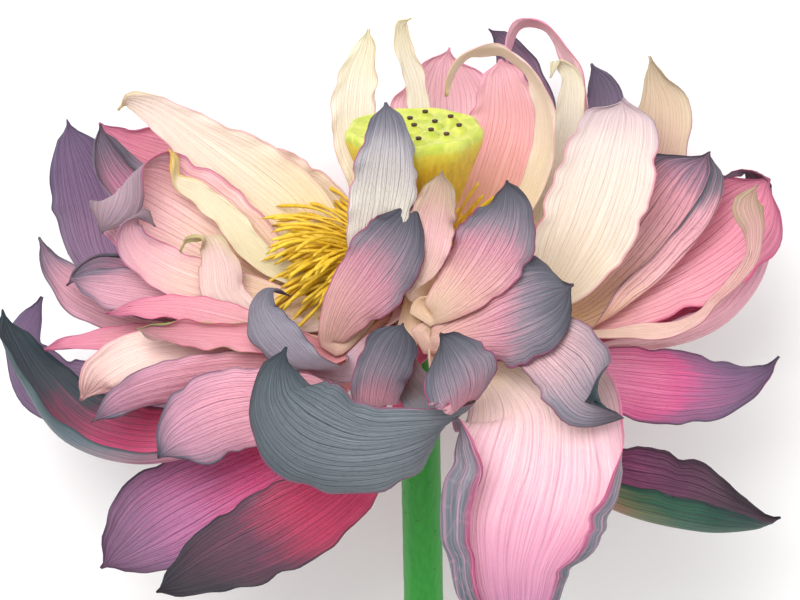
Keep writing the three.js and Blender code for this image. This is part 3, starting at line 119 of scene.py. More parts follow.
# Stations are x, y, z, half-width, cup, and the way that the inner face looks.
PETALS = {
    "back_1": Petal((135, 7), "cream", [
        (-8, 22, -13, 5, 40, 0, 0, 1), (-14, 42, -14, 7.5, 50, 0, 0, 1), (-18.5, 58, -12, 8, 50, 0, 0, 1),
        (-18, 72, -9, 6.8, 45, 0, 0, 1), (-15.5, 82, -7, 3.5, 30, 0, 0, 1), (-15, 87.5, -6, 1, 10, 0, 0, 1),
    ], hem=(0, 0.7, 75, 0.7)),
    "back_2": Petal((90, 7), "cream", [
        (-3, 25, -17, 3, 40, 0, 0, 1), (0, 50, -20, 4, 50, 0, 0, 1), (0, 68, -18, 3.5, 60, 0, 0, 1),
        (-4, 82, -15, 3, 60, 0, 0, 1), (-5, 89, -12, 2, 30, 0, 0, 1), (-2, 91, -10, 1, 0, 0, -1, 0),
    ]),
    "back_3": Petal((90, 5), "blush", [
        (5, 20, -30, 8, 40, 0, 0, 1), (8, 45, -38, 17, 60, 0, 0, 1), (9, 65, -40, 18, 60, 0, 0, 1),
        (9, 78, -37, 12, 60, 0, 0, 1), (10, 83, -35, 4, 40, 0, 0, 1),
    ], blunt=0.2),
    "back_4": Petal((45, 5), "salmon", [
        (14, 20, -18, 8, 40, -0.2, 0, 1), (22, 42, -24, 13, 50, -0.2, 0, 1),
        (27, 60, -25, 12, 50, -0.2, 0, 1),
        (26, 74, -23, 7, 40, -0.2, 0, 1), (25, 79, -22, 2, 20, 0, 0, 1),
    ]),
    "back_5": Petal((67, 6), "creamrose", [
        (16, 14, -8, 3.5, 20, -1, 0, 0.6), (33, 32, -4, 6, 20, -1, 0, 0.8), (40, 52, 0, 7, 20, -1, -0.2, 0.8),
        (37, 70, 3, 6.5, 20, -1, -0.8, 0.5), (27, 80, 3, 5, 20, -0.3, -1, 0.3),
        (16, 80, 2, 4, 10, 0.4, -1, 0.3),
        (10, 73, 0, 3, 0, 1, -0.5, 0.3), (9, 67, -1, 1, 0, 1, 0, 0.3),
    ]),
    "back_6": Petal((67, 4), "lilac", [
        (24, 20, -34, 6, 30, 0, 0, 1), (35, 40, -39, 9, 40, 0, 0, 1), (35, 60, -40, 9.5, 50, 0, 0, 1),
        (31, 76, -40, 8, 60, 0, 0, 1), (26, 85, -38, 4, 60, 0, 0, 1), (21.6, 89, -36, 1.2, 30, 0, 0, 1),
    ]),
    "back_7": Petal((45, 3), "blush", [
        (30, 25, -24, 5, 20, -1, 0, 0.5), (47, 48, -26, 6, 20, -1, 0, 0.5), (50, 66, -27, 6, 20, -1, 0, 0.5),
        (46, 80, -28, 5, 20, -1, -0.5, 0.4), (38, 90, -29, 4.5, 20, -0.5, -1, 0.3),
        (31, 90, -30, 4, 10, 0.5, -1, 0.3), (27, 82, -30, 3, 0, 1, -0.5, 0.3), (28, 76, -30, 1, 0, 1, 0, 0.3),
    ]),
    "back_8": Petal((45, 7), "cream", [
        (24, 12, -8, 4.5, 30, 0, 0, 1), (40, 34, -14, 6, 40, 0, 0, 1), (44, 50, -17, 6, 50, 0, 0, 1),
        (46, 64, -17, 4.5, 60, 0, 0, 1), (46, 74, -16, 3, 40, 0, 0, 1), (42, 78, -14, 2, 20, 0, -1, 0.3),
        (40, 73, -12, 1, 0, 0, 0, -1),
    ]),
    "back_9": Petal((22, 4), "grey", [
        (32, 14, -32, 6, 40, 0, 0, 1), (52, 38, -42, 9, 50, 0, 0, 1), (57, 54, -44, 9, 50, 0, 0, 1),
        (57, 68, -44, 6, 50, 0, 0, 1), (53, 78, -42, 1.5, 20, 0, 0, 1),
    ]),
    "right_1": Petal((0, 7), "creampink", [
        (20, 0, 2, 6, 30, -0.3, 0.3, 1), (36, 3, 3, 10, 50, -0.3, 0.3, 1), (46, 20, 4, 15.5, 45, -0.2, 0, 1),
        (53, 38, 2, 17, 40, -0.2, 0, 1), (58, 54, -2, 14.5, 35, -0.2, -0.1, 1),
        (60, 63, -5, 11, 30, -0.2, -0.2, 1), (60.5, 66.5, -6, 8, 20, 0, -0.2, 1),
    ], hem=(20, 0.6, -35, 0.75), blunt=0.06),
    "right_2": Petal((22, 6), "peach", [
        (24, 2, -10, 6, 40, -0.2, 0.3, 1), (50, 16, -20, 9, 50, -0.2, 0.2, 1),
        (66, 36, -25, 11, 50, -0.2, 0, 1),
        (73, 53, -24, 10.5, 60, -0.2, 0, 1), (74, 65, -21, 9, 70, 0, 0, 1), (72, 73, -18, 4, 60, 0, 0, 1),
        (70, 80, -15, 1.5, 0, 0, 0, 1),
    ], wave=(1.8, 3, 0)),
    "right_3": Petal((0, 5), "flap", [
        (22, -3, -5, 6, 40, -0.3, 0.6, 0.7), (46, 0, -7, 12, 40, -0.3, 0.5, 0.8),
        (63, 14, -9, 17, 40, -0.3, 0.2, 0.9), (76, 30, -10, 19, 40, -0.3, 0, 1),
        (84, 43, -9, 15, 30, -0.2, 0, 1), (87, 50, -7, 7, 20, -0.2, 0, 1),
    ], hem=(0, 0.7, 165, 0.5), blunt=0.1),
    "right_4": Petal((0, 3), "boat", [
        (22, -7, -8, 6, 40, 0, 0.85, 0.4), (45, -9, -8, 12, 90, 0, 0.9, 0.35),
        (70, -10, -8, 20, 140, -0.1, 0.95, 0.3), (92, -4, -10, 24, 150, -0.5, 0.85, 0.3),
        (107, 11, -12, 23, 140, -0.9, 0.4, 0.3), (112, 30, -11, 18, 110, -1, 0, 0.3),
        (108, 45, -6, 10, 60, -0.7, -0.7, 0.3), (101, 46, 1, 4, 30, 0, -1, 0.3),
        (95, 43, 4, 1.2, 10, 0.3, -1, 0.3),
    ]),
    "right_5": Petal((337, 4), "pink", [
        (26, 0, -10, 6, 30, -0.2, 0.6, 0.7), (54, 7, -15, 12, 40, -0.2, 0.3, 0.9),
        (78, 20, -17, 17, 50, -0.2, 0.1, 1), (93, 32, -17, 16, 50, -0.1, 0, 1),
        (101, 41, -15, 9, 40, 0, -0.2, 1),
    ], blunt=0.15),
    "right_6": Petal((337, 6), "shrivel", [
        (22, -6, -3, 3.5, 30, -0.2, 0.9, 0.4), (50, -4, -3, 4, 30, -0.2, 0.9, 0.4),
        (75, -1, -1, 4, 30, -0.4, 0.6, 0.6), (90, 9, 3, 3, 30, -0.7, 0.2, 0.6),
        (98, 20, 6, 2.5, 30, -0.3, 0.3, 1), (99, 29, 8, 3.5, 30, 0, 0.3, 1), (97, 36, 9, 5, 30, 0, 0, 1),
        (100, 42, 9, 1, 0, 0, 0, 1),
    ], wave=(1.2, 4, 1)),
    "right_7": Petal((337, 2), "hotpink", [
        (25, -12, -6, 6, 30, 0, 0.4, 0.9), (56, -15, -8, 13, 20, 0, 0.3, 0.95),
        (76, -18, -9, 14, 10, 0, 0.3, 0.95), (94, -19, -9, 10, 30, 0, 0.4, 0.9),
        (104, -15, -8, 5, 60, -0.3, 0.4, 0.9), (108, -10, -7, 1.2, 40, -0.5, 0.2, 0.9),
    ], wave=(1.5, 2, 0)),
    "right_8": Petal((315, 1), "dark", [
        (18, -20, 0, 6, 30, 0, 0.9, 0.4), (38, -42, 0, 14, 120, 0.1, 0.95, 0.35),
        (60, -56, 0, 24, 165, 0.1, 0.95, 0.35), (84, -62, -1, 24, 165, 0.1, 0.95, 0.35),
        (100, -62, -2, 12, 140, 0, 0.95, 0.35), (109, -59.5, -3, 1.2, 60, 0, 0.95, 0.35),
    ]),
    "centre_1": Petal((247, 6), "front", [
        (-24, -8, 20, 4.5, 20, 0, 0.4, -0.9), (-20, 1, 28, 9, 40, 0.2, 0.1, -1),
        (-10, 12, 36, 13, 50, 0.2, 0, -1), (-1, 22, 41, 11, 60, 0.1, 0, -1), (3, 29, 42, 5, 50, 0, 0, -1),
        (4, 33, 42, 1, 20, 0, 0, -1),
    ]),
    "centre_2": Petal((292, 6), "front", [
        (4, 2, 24, 5, 20, 0, 0.3, -1), (14, 11, 33, 12, 30, 0, 0, -1), (22, 22, 38, 14, 40, 0, 0, -1),
        (26, 32, 38, 9, 40, 0, 0, -1), (26, 41, 37, 1, 20, 0, 0, -1),
    ]),
    "centre_3": Petal((315, 5), "front", [
        (0, -6, 26, 5, 20, 0, 0.4, -1), (11, -3, 36, 13, 40, 0, 0.2, -1), (24, 1, 42, 20, 40, 0, 0.1, -1),
        (36, 5, 43, 18.5, 40, 0.1, 0, -1), (43, 8, 42, 13, 40, 0.2, 0, -1), (46, 10, 41, 6, 30, 0.3, 0, -1),
    ], wave=(1.2, 2, 0), blunt=0.1),
    "centre_4": Petal((270, 7), "tall", [
        (-10, 6, 22, 4.5, 20, 0, 0.2, -1), (-14, 20, 29, 7, 30, 0, 0.1, -1),
        (-12, 33, 36, 9.5, 50, 0, 0.2, -1),
        (-10, 46, 43, 9, 60, 0, 0.2, -1), (-9, 57, 46, 6, 60, 0, 0.1, -1), (-10, 64, 46, 2, 20, 0, 0, -1),
    ], hem=(60, 0.6, 0, 0.7), wave=(1, 3, 0)),
    "centre_5": Petal((315, 7), "shrivel", [
        (1, 6, 27, 4.5, 20, 0, 0.2, -1), (3, 18, 35, 8, 20, 0, 0.2, -1), (4, 28, 39, 8.5, 20, 0, 0.2, -1),
        (6, 37, 43, 6, 20, 0, 0.2, -1), (7, 43, 45, 1.5, 10, 0, 0, -1),
    ], wave=(1.5, 3, 0.5)),
    "front_1": Petal((270, 3), "slate", [
        (0, -16, 18, 5, 20, 0, 0.8, 0.6), (8, -25, 34, 9, 30, 0, 0.9, 0.3),
        (17, -31, 50, 11, 40, -0.5, 0.6, 0),
        (6, -36, 61, 13, 50, -0.2, 0.4, -0.8), (-12, -38, 64, 16, 60, 0.1, 0.3, -0.9),
        (-29, -34, 62, 19, 70, 0.3, 0.2, -0.9), (-39, -25, 57, 14, 70, 0.4, 0, -0.9),
        (-40, -15, 53, 7, 50, 0.4, 0, -0.9), (-37, -8, 51, 1.5, 20, 0.3, 0, -1),
    ]),
    "front_2": Petal((247, 4), "stripe", [
        (-20, -14, 20, 5, 20, 0.2, 0.5, -0.8), (-32, -14, 34, 6, 30, 0.5, 0.3, -0.8),
        (-42, -6, 38, 8, 50, 0.5, 0, -0.9), (-47, 3, 36, 6, 60, 0.6, -0.3, -0.7),
        (-44, 9, 33, 3, 40, 0.2, -1, -0.2), (-38, 7, 30, 1, 0, 0, -0.6, 0.8),
    ]),
    "front_3": Petal((270, 5), "front", [
        (-5, -16, 24, 5, 20, 0, 0.7, 0.2), (-12, -27, 38, 7, 20, 0, 0.5, -0.8),
        (-11, -18, 43, 8.5, 30, 0, 0, -1), (-7, -8, 45, 8.5, 30, 0, 0, -1), (-4, -1, 46, 6, 20, 0, 0, -1),
    ], blunt=0.12),
    "front_4": Petal((292, 4), "front", [
        (4, -16, 26, 5, 20, 0, 0.7, 0.2), (9, -27, 44, 9, 30, 0, 0.5, -0.8),
        (10, -21, 51, 12.5, 30, 0, 0, -1),
        (7, -12, 52, 10, 30, 0, 0, -1), (4, -3, 51, 1, 20, 0, 0, -1),
    ]),
    "front_5": Petal((292, 2), "bigfront", [
        (8, -8, 20, 7, 20, 0, 0.7, 0.7), (20, -13, 32, 15, 30, 0.1, 0.6, 0.8),
        (28, -25, 42, 30, 30, 0, 0.2, 1),
        (27, -41, 47, 38, 40, 0, 0, 1), (24, -58, 46, 37, 50, 0, 0, 1), (23.5, -72, 42, 27, 60, 0, -0.1, 1),
        (25, -84, 38, 19, 60, 0, -0.2, 1), (25, -96, 34, 3, 40, 0, -0.3, 1),
    ], hem=(150, 0.74, 155, 0.64)),
    "front_6": Petal((315, 3), "greycurl", [
        (12, -6, 24, 5, 20, 0, 0.6, 0.7), (30, -5, 46, 11, 40, 0.2, 0.3, 0.9),
        (42, -13, 56, 14, 50, 0, 0.2, 1),
        (48, -21, 60, 12, 50, -0.2, -0.2, 1), (53, -25, 64, 6, 50, -0.5, -0.9, 0.2),
        (50, -24, 68, 1.5, 20, 0, -0.6, -0.8),
    ]),
    "left_1": Petal((157, 2), "purple", [
        (-24, -2, -20, 7, 30, 0, 1, 0.3), (-55, 0, -38, 12, 40, 0.1, 0.9, 0.2),
        (-80, 4, -48, 15, 50, 0.5, 0.8, -0.2), (-94, 18, -47, 17, 50, 0.6, 0.4, -0.8),
        (-99, 36, -42, 15, 40, 0.3, 0, -1), (-105, 53, -38, 7, 30, 0.3, 0, -1),
        (-107, 61, -36, 1, 20, 0.3, 0, -1),
    ]),
    "left_2": Petal((135, 5), "pink", [
        (-20, 18, -22, 7, 30, 0, 0.3, 1), (-38, 31, -30, 13, 30, 0, 0.3, 1),
        (-58, 42, -34, 14, 40, 0, 0.2, 1),
        (-78, 47, -34, 12, 50, 0, 0.1, 1), (-91, 53, -32, 8, 40, 0, 0, 1), (-97, 60, -30, 1.5, 20, 0, 0, 1),
    ], hem=(0, 0.7, 80, 0.8)),
    "left_3": Petal((157, 4), "pinkslate", [
        (-24, 4, -14, 6, 30, 0, 0.3, 1), (-55, 18, -17, 9, 40, 0, 0.2, 1), (-78, 33, -16, 11, 40, 0, 0.2, 1),
        (-90, 45, -14, 10, 50, 0.2, 0, 1), (-95, 54, -12, 5, 50, 0.3, 0, 1), (-96, 59, -12, 1, 20, 0.3, 0, 1),
    ], hem=(60, 0.6, 140, 0.55)),
    "left_4": Petal((157, 6), "creamrose", [
        (-24, 18, -6, 7, 30, 0, 0.2, 1), (-38, 31, -6, 13, 50, 0, 0.2, 1), (-54, 44, -5, 13, 60, 0, 0.1, 1),
        (-68, 55, -4, 8, 60, 0, 0, 1), (-79, 63, -3, 5, 50, 0, 0, 1), (-87, 66, -1, 2.5, 30, 0, -0.6, 0.8),
        (-90, 63, 1, 1, 0, 0.5, -0.8, 0),
    ]),
    "left_5": Petal((112, 6), "creamrose", [
        (-20, 20, -14, 7, 30, 0, 0.2, 1), (-31, 31, -16, 12, 50, 0, 0.2, 1),
        (-43, 40, -16, 12, 50, 0, 0.1, 1),
        (-54, 48, -15, 9, 50, 0, 0, 1), (-61, 54, -14, 3, 30, 0, 0, 1),
    ], blunt=0.1),
    "left_6": Petal((180, 7), "creamtip", [
        (-26, 8, 4, 4, 30, 0, 0.4, 0.9), (-46, 17, 5, 4.5, 40, 0, 0.3, 1), (-56, 29, 4, 4.5, 40, 0, 0.3, 1),
        (-66, 38, 3, 3.5, 50, 0, 0.2, 1), (-73, 42, 3, 2.5, 40, 0.8, -0.3, 0.4),
        (-73, 48, 4, 2, 20, 0.8, -0.4, 0.4), (-75, 51, 5, 1, 0, 0.3, -1, 0.3),
    ]),
    "left_7": Petal((180, 5), "peachslate", [
        (-24, 2, 4, 6, 30, 0, 0.5, 0.9), (-44, 10, 0, 12, 40, 0, 0.4, 0.9), (-62, 22, -2, 18, 40, 0, 0.3, 1),
        (-78, 32, -2, 19, 40, 0.1, 0.2, 1), (-89, 38, 2, 15, 40, 0.6, -0.7, 0.4),
        (-92, 33, 7, 9, 40, 0.3, -0.4, -0.8), (-95, 25, 8, 2, 20, 0.1, 0, -1),
    ]),
    "left_8": Petal((202, 6), "peachslate", [
        (-26, 2, 8, 4, 30, 0, 0.5, 0.9), (-52, 8, 10, 6, 40, 0, 0.3, 1), (-70, 13, 12, 7, 40, 0, 0.2, 1),
        (-82, 20, 14, 6, 50, 0, 0.2, 1), (-86, 28, 17, 4, 50, 0.3, -0.6, 0.6),
        (-82, 32, 19, 2.5, 20, 0.4, -0.9, -0.2), (-78, 28, 20, 1, 0, 0, 0, -1),
    ]),
    "left_9": Petal((225, 7), "creamcurl", [
        (-26, -4, 14, 4, 20, 0.2, 0.2, -1), (-48, -2, 16, 6, 40, 0.1, 0.2, -1),
        (-58, 6, 16, 7.5, 50, 0.1, 0, -1), (-60, 16, 16, 7, 60, 0.2, 0, -1),
        (-63, 24, 15, 4, 60, 0.5, -0.8, -0.3), (-69, 24, 14, 2, 40, 0.3, -0.9, 0.2),
        (-71, 20, 13, 1, 0, 0.8, -0.4, 0),
    ]),
    "left_10": Petal((180, 3), "pinkslate", [
        (-28, -2, 8, 5, 30, 0, 0.6, 0.8), (-60, 5, 4, 10, 40, 0, 0.4, 0.9), (-80, 11, 3, 12, 40, 0, 0.3, 0.9),
        (-94, 16, 2, 10, 40, 0.1, 0.2, 1), (-102, 15, 3, 4, 30, 0.2, 0.2, 1),
        (-105, 12, 4, 1, 20, 0.2, 0.2, 1),
    ], hem=(0, 0.6, 90, 0.7), wave=(1.5, 3, 0)),
    "left_11": Petal((202, 4), "mauve", [
        (-28, -3, 12, 4.5, 30, 0, 0.8, 0.6), (-50, 1, 12, 6, 30, 0, 0.7, 0.7),
        (-72, 6, 9, 7.5, 40, 0, 0.7, 0.7),
        (-90, 9, 8, 7, 40, 0, 0.6, 0.8), (-100, 11, 7, 3, 30, 0, 0.6, 0.8), (-103, 12, 7, 1, 20, 0, 0.6, 0.8),
    ]),
    "left_12": Petal((202, 2), "mauve", [
        (-28, -4, 4, 5, 30, 0, 0.7, 0.7), (-60, -2, 0, 8, 40, 0, 0.6, 0.8), (-85, 2, -4, 9, 40, 0, 0.4, 0.9),
        (-101, 8, -6, 8, 50, 0.3, 0.2, 0.9), (-110, 16, -6, 4, 50, 0.3, 0, 1),
        (-114, 25, -6, 1, 20, 0.3, 0, 1),
    ]),
    "left_13": Petal((185, 0), "boatslate", [
        (-26, -20, 4, 6, 40, 0, 0.8, 0.6), (-50, -34, 6, 12, 90, 0, 0.9, 0.4),
        (-80, -42, 5, 20, 120, 0.1, 0.9, 0.4), (-103, -36, 2, 22, 120, 0.5, 0.75, 0.4),
        (-116, -20, -1, 17, 100, 0.8, 0.4, 0.4), (-123, -5, -4, 8, 60, 0.8, 0.2, 0.5),
        (-125, 3, -6, 1, 20, 0.8, 0.2, 0.5),
    ]),
    "left_14": Petal((180, 1), "purple", [
        (-28, -10, -12, 6, 30, 0, 0.9, 0.3), (-60, -16, -22, 9, 40, 0.1, 0.8, 0),
        (-90, -24, -28, 12, 40, 0.4, 0.5, -0.7), (-110, -22, -28, 12, 40, 0.5, 0.2, -0.9),
        (-120, -8, -26, 7, 30, 0.4, 0, -1), (-114, 7, -24, 1.5, 20, 0.3, 0, -1),
    ]),
    "left_15": Petal((225, 5), "pink", [
        (-28, -6, 16, 4.5, 30, 0, 0.8, 0.6), (-48, -2, 18, 6.5, 40, 0, 0.8, 0.6),
        (-68, 1, 15, 7, 40, 0, 0.8, 0.6), (-84, 1, 12, 4, 40, 0, 0.8, 0.6), (-93, -1, 11, 1, 20, 0, 0.8, 0.6),
    ]),
    "left_16": Petal((222, 1), "pink", [
        (-30, -9, 12, 5, 30, 0, 0.8, 0.6), (-58, -6, 12, 7, 40, 0, 0.8, 0.6),
        (-84, -5, 9, 6.5, 50, 0, 0.8, 0.6),
        (-103, -6, 7, 3, 40, 0, 0.8, 0.6), (-112, -8, 6, 1, 20, 0, 0.8, 0.6),
    ]),
    "left_17": Petal((247, 2), "greentip", [
        (-24, -10, 20, 4.5, 30, 0, 0.7, 0.7), (-44, -5, 27, 6, 40, 0, 0.6, 0.8),
        (-62, -3, 24, 7, 40, 0, 0.6, 0.8), (-76, -2, 21, 5.5, 50, 0, 0.6, 0.8),
        (-84, -1, 20, 1.5, 30, 0, 0.6, 0.8),
    ], hem=(0, 0.5, 90, 0.5)),
    "left_18": Petal((225, 3), "pinkcream", [
        (-30, -12, 16, 5, 30, 0, 0.6, 0.8), (-56, -9, 18, 8, 50, 0, 0.6, 0.8),
        (-80, -11, 15, 9, 60, 0.2, 0.6, 0.8), (-94, -18, 12, 7, 60, 0.5, 0.5, 0.7),
        (-100, -26, 10, 1.5, 30, 0.7, 0.3, 0.7),
    ]),
    "left_19": Petal((228, 0), "mauvepink", [
        (-24, -18, 18, 5, 20, 0, 0.6, -0.5), (-46, -14, 24, 8, 40, 0.1, 0.5, -0.8),
        (-72, -17, 22, 9, 50, 0.1, 0.5, -0.8), (-88, -22, 18, 6, 50, 0.3, 0.4, -0.8),
        (-98, -29, 15, 1.5, 30, 0.5, 0.2, -0.8),
    ]),
    "left_20": Petal((268, 1), "mauvepink", [
        (-18, -24, 22, 5, 20, 0.1, 0.5, -0.6), (-36, -24, 32, 11, 40, 0.1, 0.5, -0.85),
        (-56, -27, 31, 14, 50, 0.2, 0.4, -0.85), (-71, -34, 26, 11, 60, 0.5, 0.3, -0.8),
        (-77, -40, 22, 4, 40, 0.6, 0.2, -0.8),
    ], blunt=0.15),
    "left_21": Petal((256, -1), "purplehot", [
        (-16, -28, 8, 6, 20, 0, 0.7, 0.7), (-40, -40, 8, 13, 20, 0, 0.4, 0.9),
        (-62, -51, 8, 17, 20, 0, 0.3, 0.95), (-78, -60, 7, 17, 30, 0, 0.3, 0.95),
        (-88, -68, 6, 10, 30, 0, 0.3, 0.95), (-95, -74, 5, 1.5, 10, 0, 0.3, 0.95),
    ], wave=(1.5, 2, 0)),
    "left_22": Petal((272, 0), "darkred", [
        (-6, -32, 16, 6, 20, 0, 0.7, -0.5), (-20, -48, 24, 11, 30, 0, 0.4, -0.9),
        (-40, -62, 24, 14, 40, 0, 0.3, -0.95), (-60, -72, 20, 11, 40, 0, 0.3, -0.95),
        (-74, -79, 16, 4, 30, 0, 0.2, -1), (-78, -81, 14, 1, 10, 0, 0.2, -1),
    ]),
}
# The petals that the flower lies on: azimuth and tier of the root, azimuth of the blade, length.
LAID_UNDER = (
    (22, 2, 44, 100), (67, 2, 70, 86), (112, 2, 112, 86), (45, 1, 54, 98), (90, 1, 90, 78), (135, 1, 128, 98),
)
# Along such a petal: share of its length, half-width, cup, drop along the axis.
UNDER_SHAPE = ((0.3, 7, 30, 1), (0.55, 14, 40, 4), (0.8, 17, 40, 9), (0.93, 10, 40, 14), (1, 2, 20, 17))


def under_petal(azimuth, tier, blade, length):
    stations = []
    for share, half, cup, drop in UNDER_SHAPE:
        x, y, z = ring(azimuth + (blade - azimuth) * min(1, share * 1.6), length * share, 3 + 2 * tier - drop)
        stations.append((x, y, max(z, TABLE + 3), half, cup, *UP))
    return Petal((azimuth, tier), "under", stations)


PETALS.update({f"under_{i}": under_petal(*row) for i, row in enumerate(LAID_UNDER, 1)})


def along(petal, v):
    """All eight values of the stations at each v, and their rates of change."""
    i = np.clip(np.searchsorted(petal.share, v, side="right") - 1, 0, len(petal.share) - 2)
    step = (petal.share[i + 1] - petal.share[i])[:, None]
    f = (v - petal.share[i])[:, None] / step
    p0, p1 = petal.knots[i], petal.knots[i + 1]
    m0, m1 = petal.slopes[i] * step, petal.slopes[i + 1] * step
    value = (2 * f**3 - 3 * f**2 + 1) * p0 + (f**3 - 2 * f**2 + f) * m0
    value += (3 * f**2 - 2 * f**3) * p1 + (f**3 - f**2) * m1
    rate = ((6 * f**2 - 6 * f) * (p0 - p1) + (3 * f**2 - 4 * f + 1) * m0 + (3 * f**2 - 2 * f) * m1) / step
    return value, rate


def blade(petal, v, u):
    """The petal's middle surface at rows v and columns u, before it is eased away from its neighbours."""
    value, rate = along(petal, v)
    tangent = rate[:, :3] / np.linalg.norm(rate[:, :3], axis=1)[:, None]
    normal = value[:, 5:] - (value[:, 5:] * tangent).sum(1)[:, None] * tangent
    normal /= np.linalg.norm(normal, axis=1)[:, None]
    side = np.cross(tangent, normal)
    half = np.maximum(value[:, 3], 0.6)
    if petal.blunt:
        t = np.clip((v - 1 + petal.blunt) / petal.blunt, 0, 1)
        half = np.maximum(half * np.sqrt(1 - t * t), 0.6)
    slices = 24
    middle = (np.arange(slices) + 0.5) / slices
    fold = smooth((v - 0.35) / 0.3)[:, None]
    surface = np.zeros((len(v), len(u), 3))
    for sign, hem, start in ((-1, *petal.hem[:2]), (1, *petal.hem[2:])):
        angle = np.radians(value[:, 4:5] / 2) * middle + radians(hem) * smooth((middle - start) / 0.2) * fold
        reach = []
        for part in (np.cos, np.sin):
            total = np.cumsum(np.pad(part(angle), ((0, 0), (1, 0))), 1)
            reach.append(total / slices * half[:, None])
        mine = np.where(u < 0 if sign < 0 else u >= 0)[0]
        place = np.abs(u[mine]) * slices
        k = np.minimum(place.astype(int), slices - 1)
        x, z = (r[:, k] + (r[:, k + 1] - r[:, k]) * (place - k) for r in reach)
        bent = sign * x[..., None] * side[:, None] + z[..., None] * normal[:, None]
        surface[:, mine] = value[:, None, :3] + bent
    height, count, phase = petal.wave
    ripple = np.sin(2 * pi * count * v[:, None] + phase + np.where(u > 0, 1.3, 0))
    lift = height * u**2 * ripple * smooth((v[:, None] - 0.3) / 0.3)
    return surface + lift[..., None] * normal[:, None]


# ---------------------------------------------------------------- easing the petals apart
LATTICE = (8, 5)  # shifts along and across a petal
PROBE = (15, 9)  # samples along and across a petal
ROUNDS = 70
OFF_RECEPTACLE, OFF_TABLE = 1.2, 0.5  # least distance of a petal's middle surface from them
RECEPTACLE_TOP = 66  # above this a petal may lean in over it
BLEND = 0.12  # share of its neighbours' shifts that a shift takes on in each round


def spline(t, n):
    """Weights of a clamped cubic B-spline of n values, one row for each t."""
    weights = np.zeros((len(t), n))
    for row, s in enumerate(np.asarray(t) * (n - 1)):
        i = min(int(s), n - 2)
        f = s - i
        part = ((1 - f) ** 3, 3 * f**3 - 6 * f * f + 4, -3 * f**3 + 3 * f * f + 3 * f + 1, f**3)
        for a, w in enumerate(part):
            weights[row, min(max(i - 1 + a, 0), n - 1)] += w / 6
    return weights


def lattice_weights(v, u):
    return spline(v, LATTICE[0]) * smooth(v / 0.12)[:, None], spline((u + 1) / 2, LATTICE[1])


def spread(n):
    """Columns from -1 to 1 that lie closer together towards the margins."""
    s = np.linspace(-1, 1, n)
    return s * (1.25 - 0.25 * s * s)


def unit(a):
    return a / np.maximum(np.linalg.norm(a, axis=-1, keepdims=True), 1e-9)


def contacts(points, normals, rims, sides, known):
    """Pushes, as (petal, sample, step), for samples that lie closer than APART to another petal."""
    low, high = points.min(1), points.max(1)
    meet = ~((low[:, None] - 4 > high[None]) | (low[None] - 4 > high[:, None])).any(2)
    first, second = np.where(np.triu(meet, 1))
    a, b = points[first], points[second]
    square = (a**2).sum(2)[:, :, None] + (b**2).sum(2)[:, None] - 2 * a @ b.transpose(0, 2, 1)
    weight = (square < 81) / (np.maximum(square, 0) + 4)
    drift = (weight.sum(2)[..., None] * a).sum(1) - (weight.sum(1)[..., None] * b).sum(1)
    fresh = ~known[first, second] & (weight.sum((1, 2)) > 0)
    sides[first[fresh], second[fresh]] = unit(drift[fresh])
    known[first[fresh], second[fresh]] = True
    settled = known[first, second]
    found = []
    for one, two, gaps, sign in ((first, second, square, 1), (second, first, square.transpose(0, 2, 1), -1)):
        nearest = gaps.argmin(2)
        distance = np.take_along_axis(gaps, nearest[..., None], 2)[..., 0]
        pair, i = np.where((distance < 64) & settled[:, None])
        j = nearest[pair, i]
        p, q = one[pair], two[pair]
        gap = points[p, i] - points[q, j]
        normal = normals[q, j]
        depth = (gap * normal).sum(1)
        length = np.linalg.norm(gap, axis=1)
        lateral = np.sqrt(np.maximum(length**2 - depth**2, 0))
        beside = (gap * rims[q, j]).sum(1) > 0.8
        facing = (normal * sign * sides[first[pair], second[pair]]).sum(1)
        way = np.where(facing >= 0, 1.0, -1.0)
        over = ~beside & (lateral < 5) & (np.abs(facing) > 0.1)
        near = beside & (length < APART)
        need = np.where(over, APART - depth * way, np.where(near, APART - length, 0))
        step = np.where(near[:, None], unit(gap), normal * way[:, None])
        act = need > 0.02
        step = 0.5 * step[act] * np.minimum(need[act], 3)[:, None]
        found += [(p[act], i[act], step), (q[act], j[act], -step)]
    return found


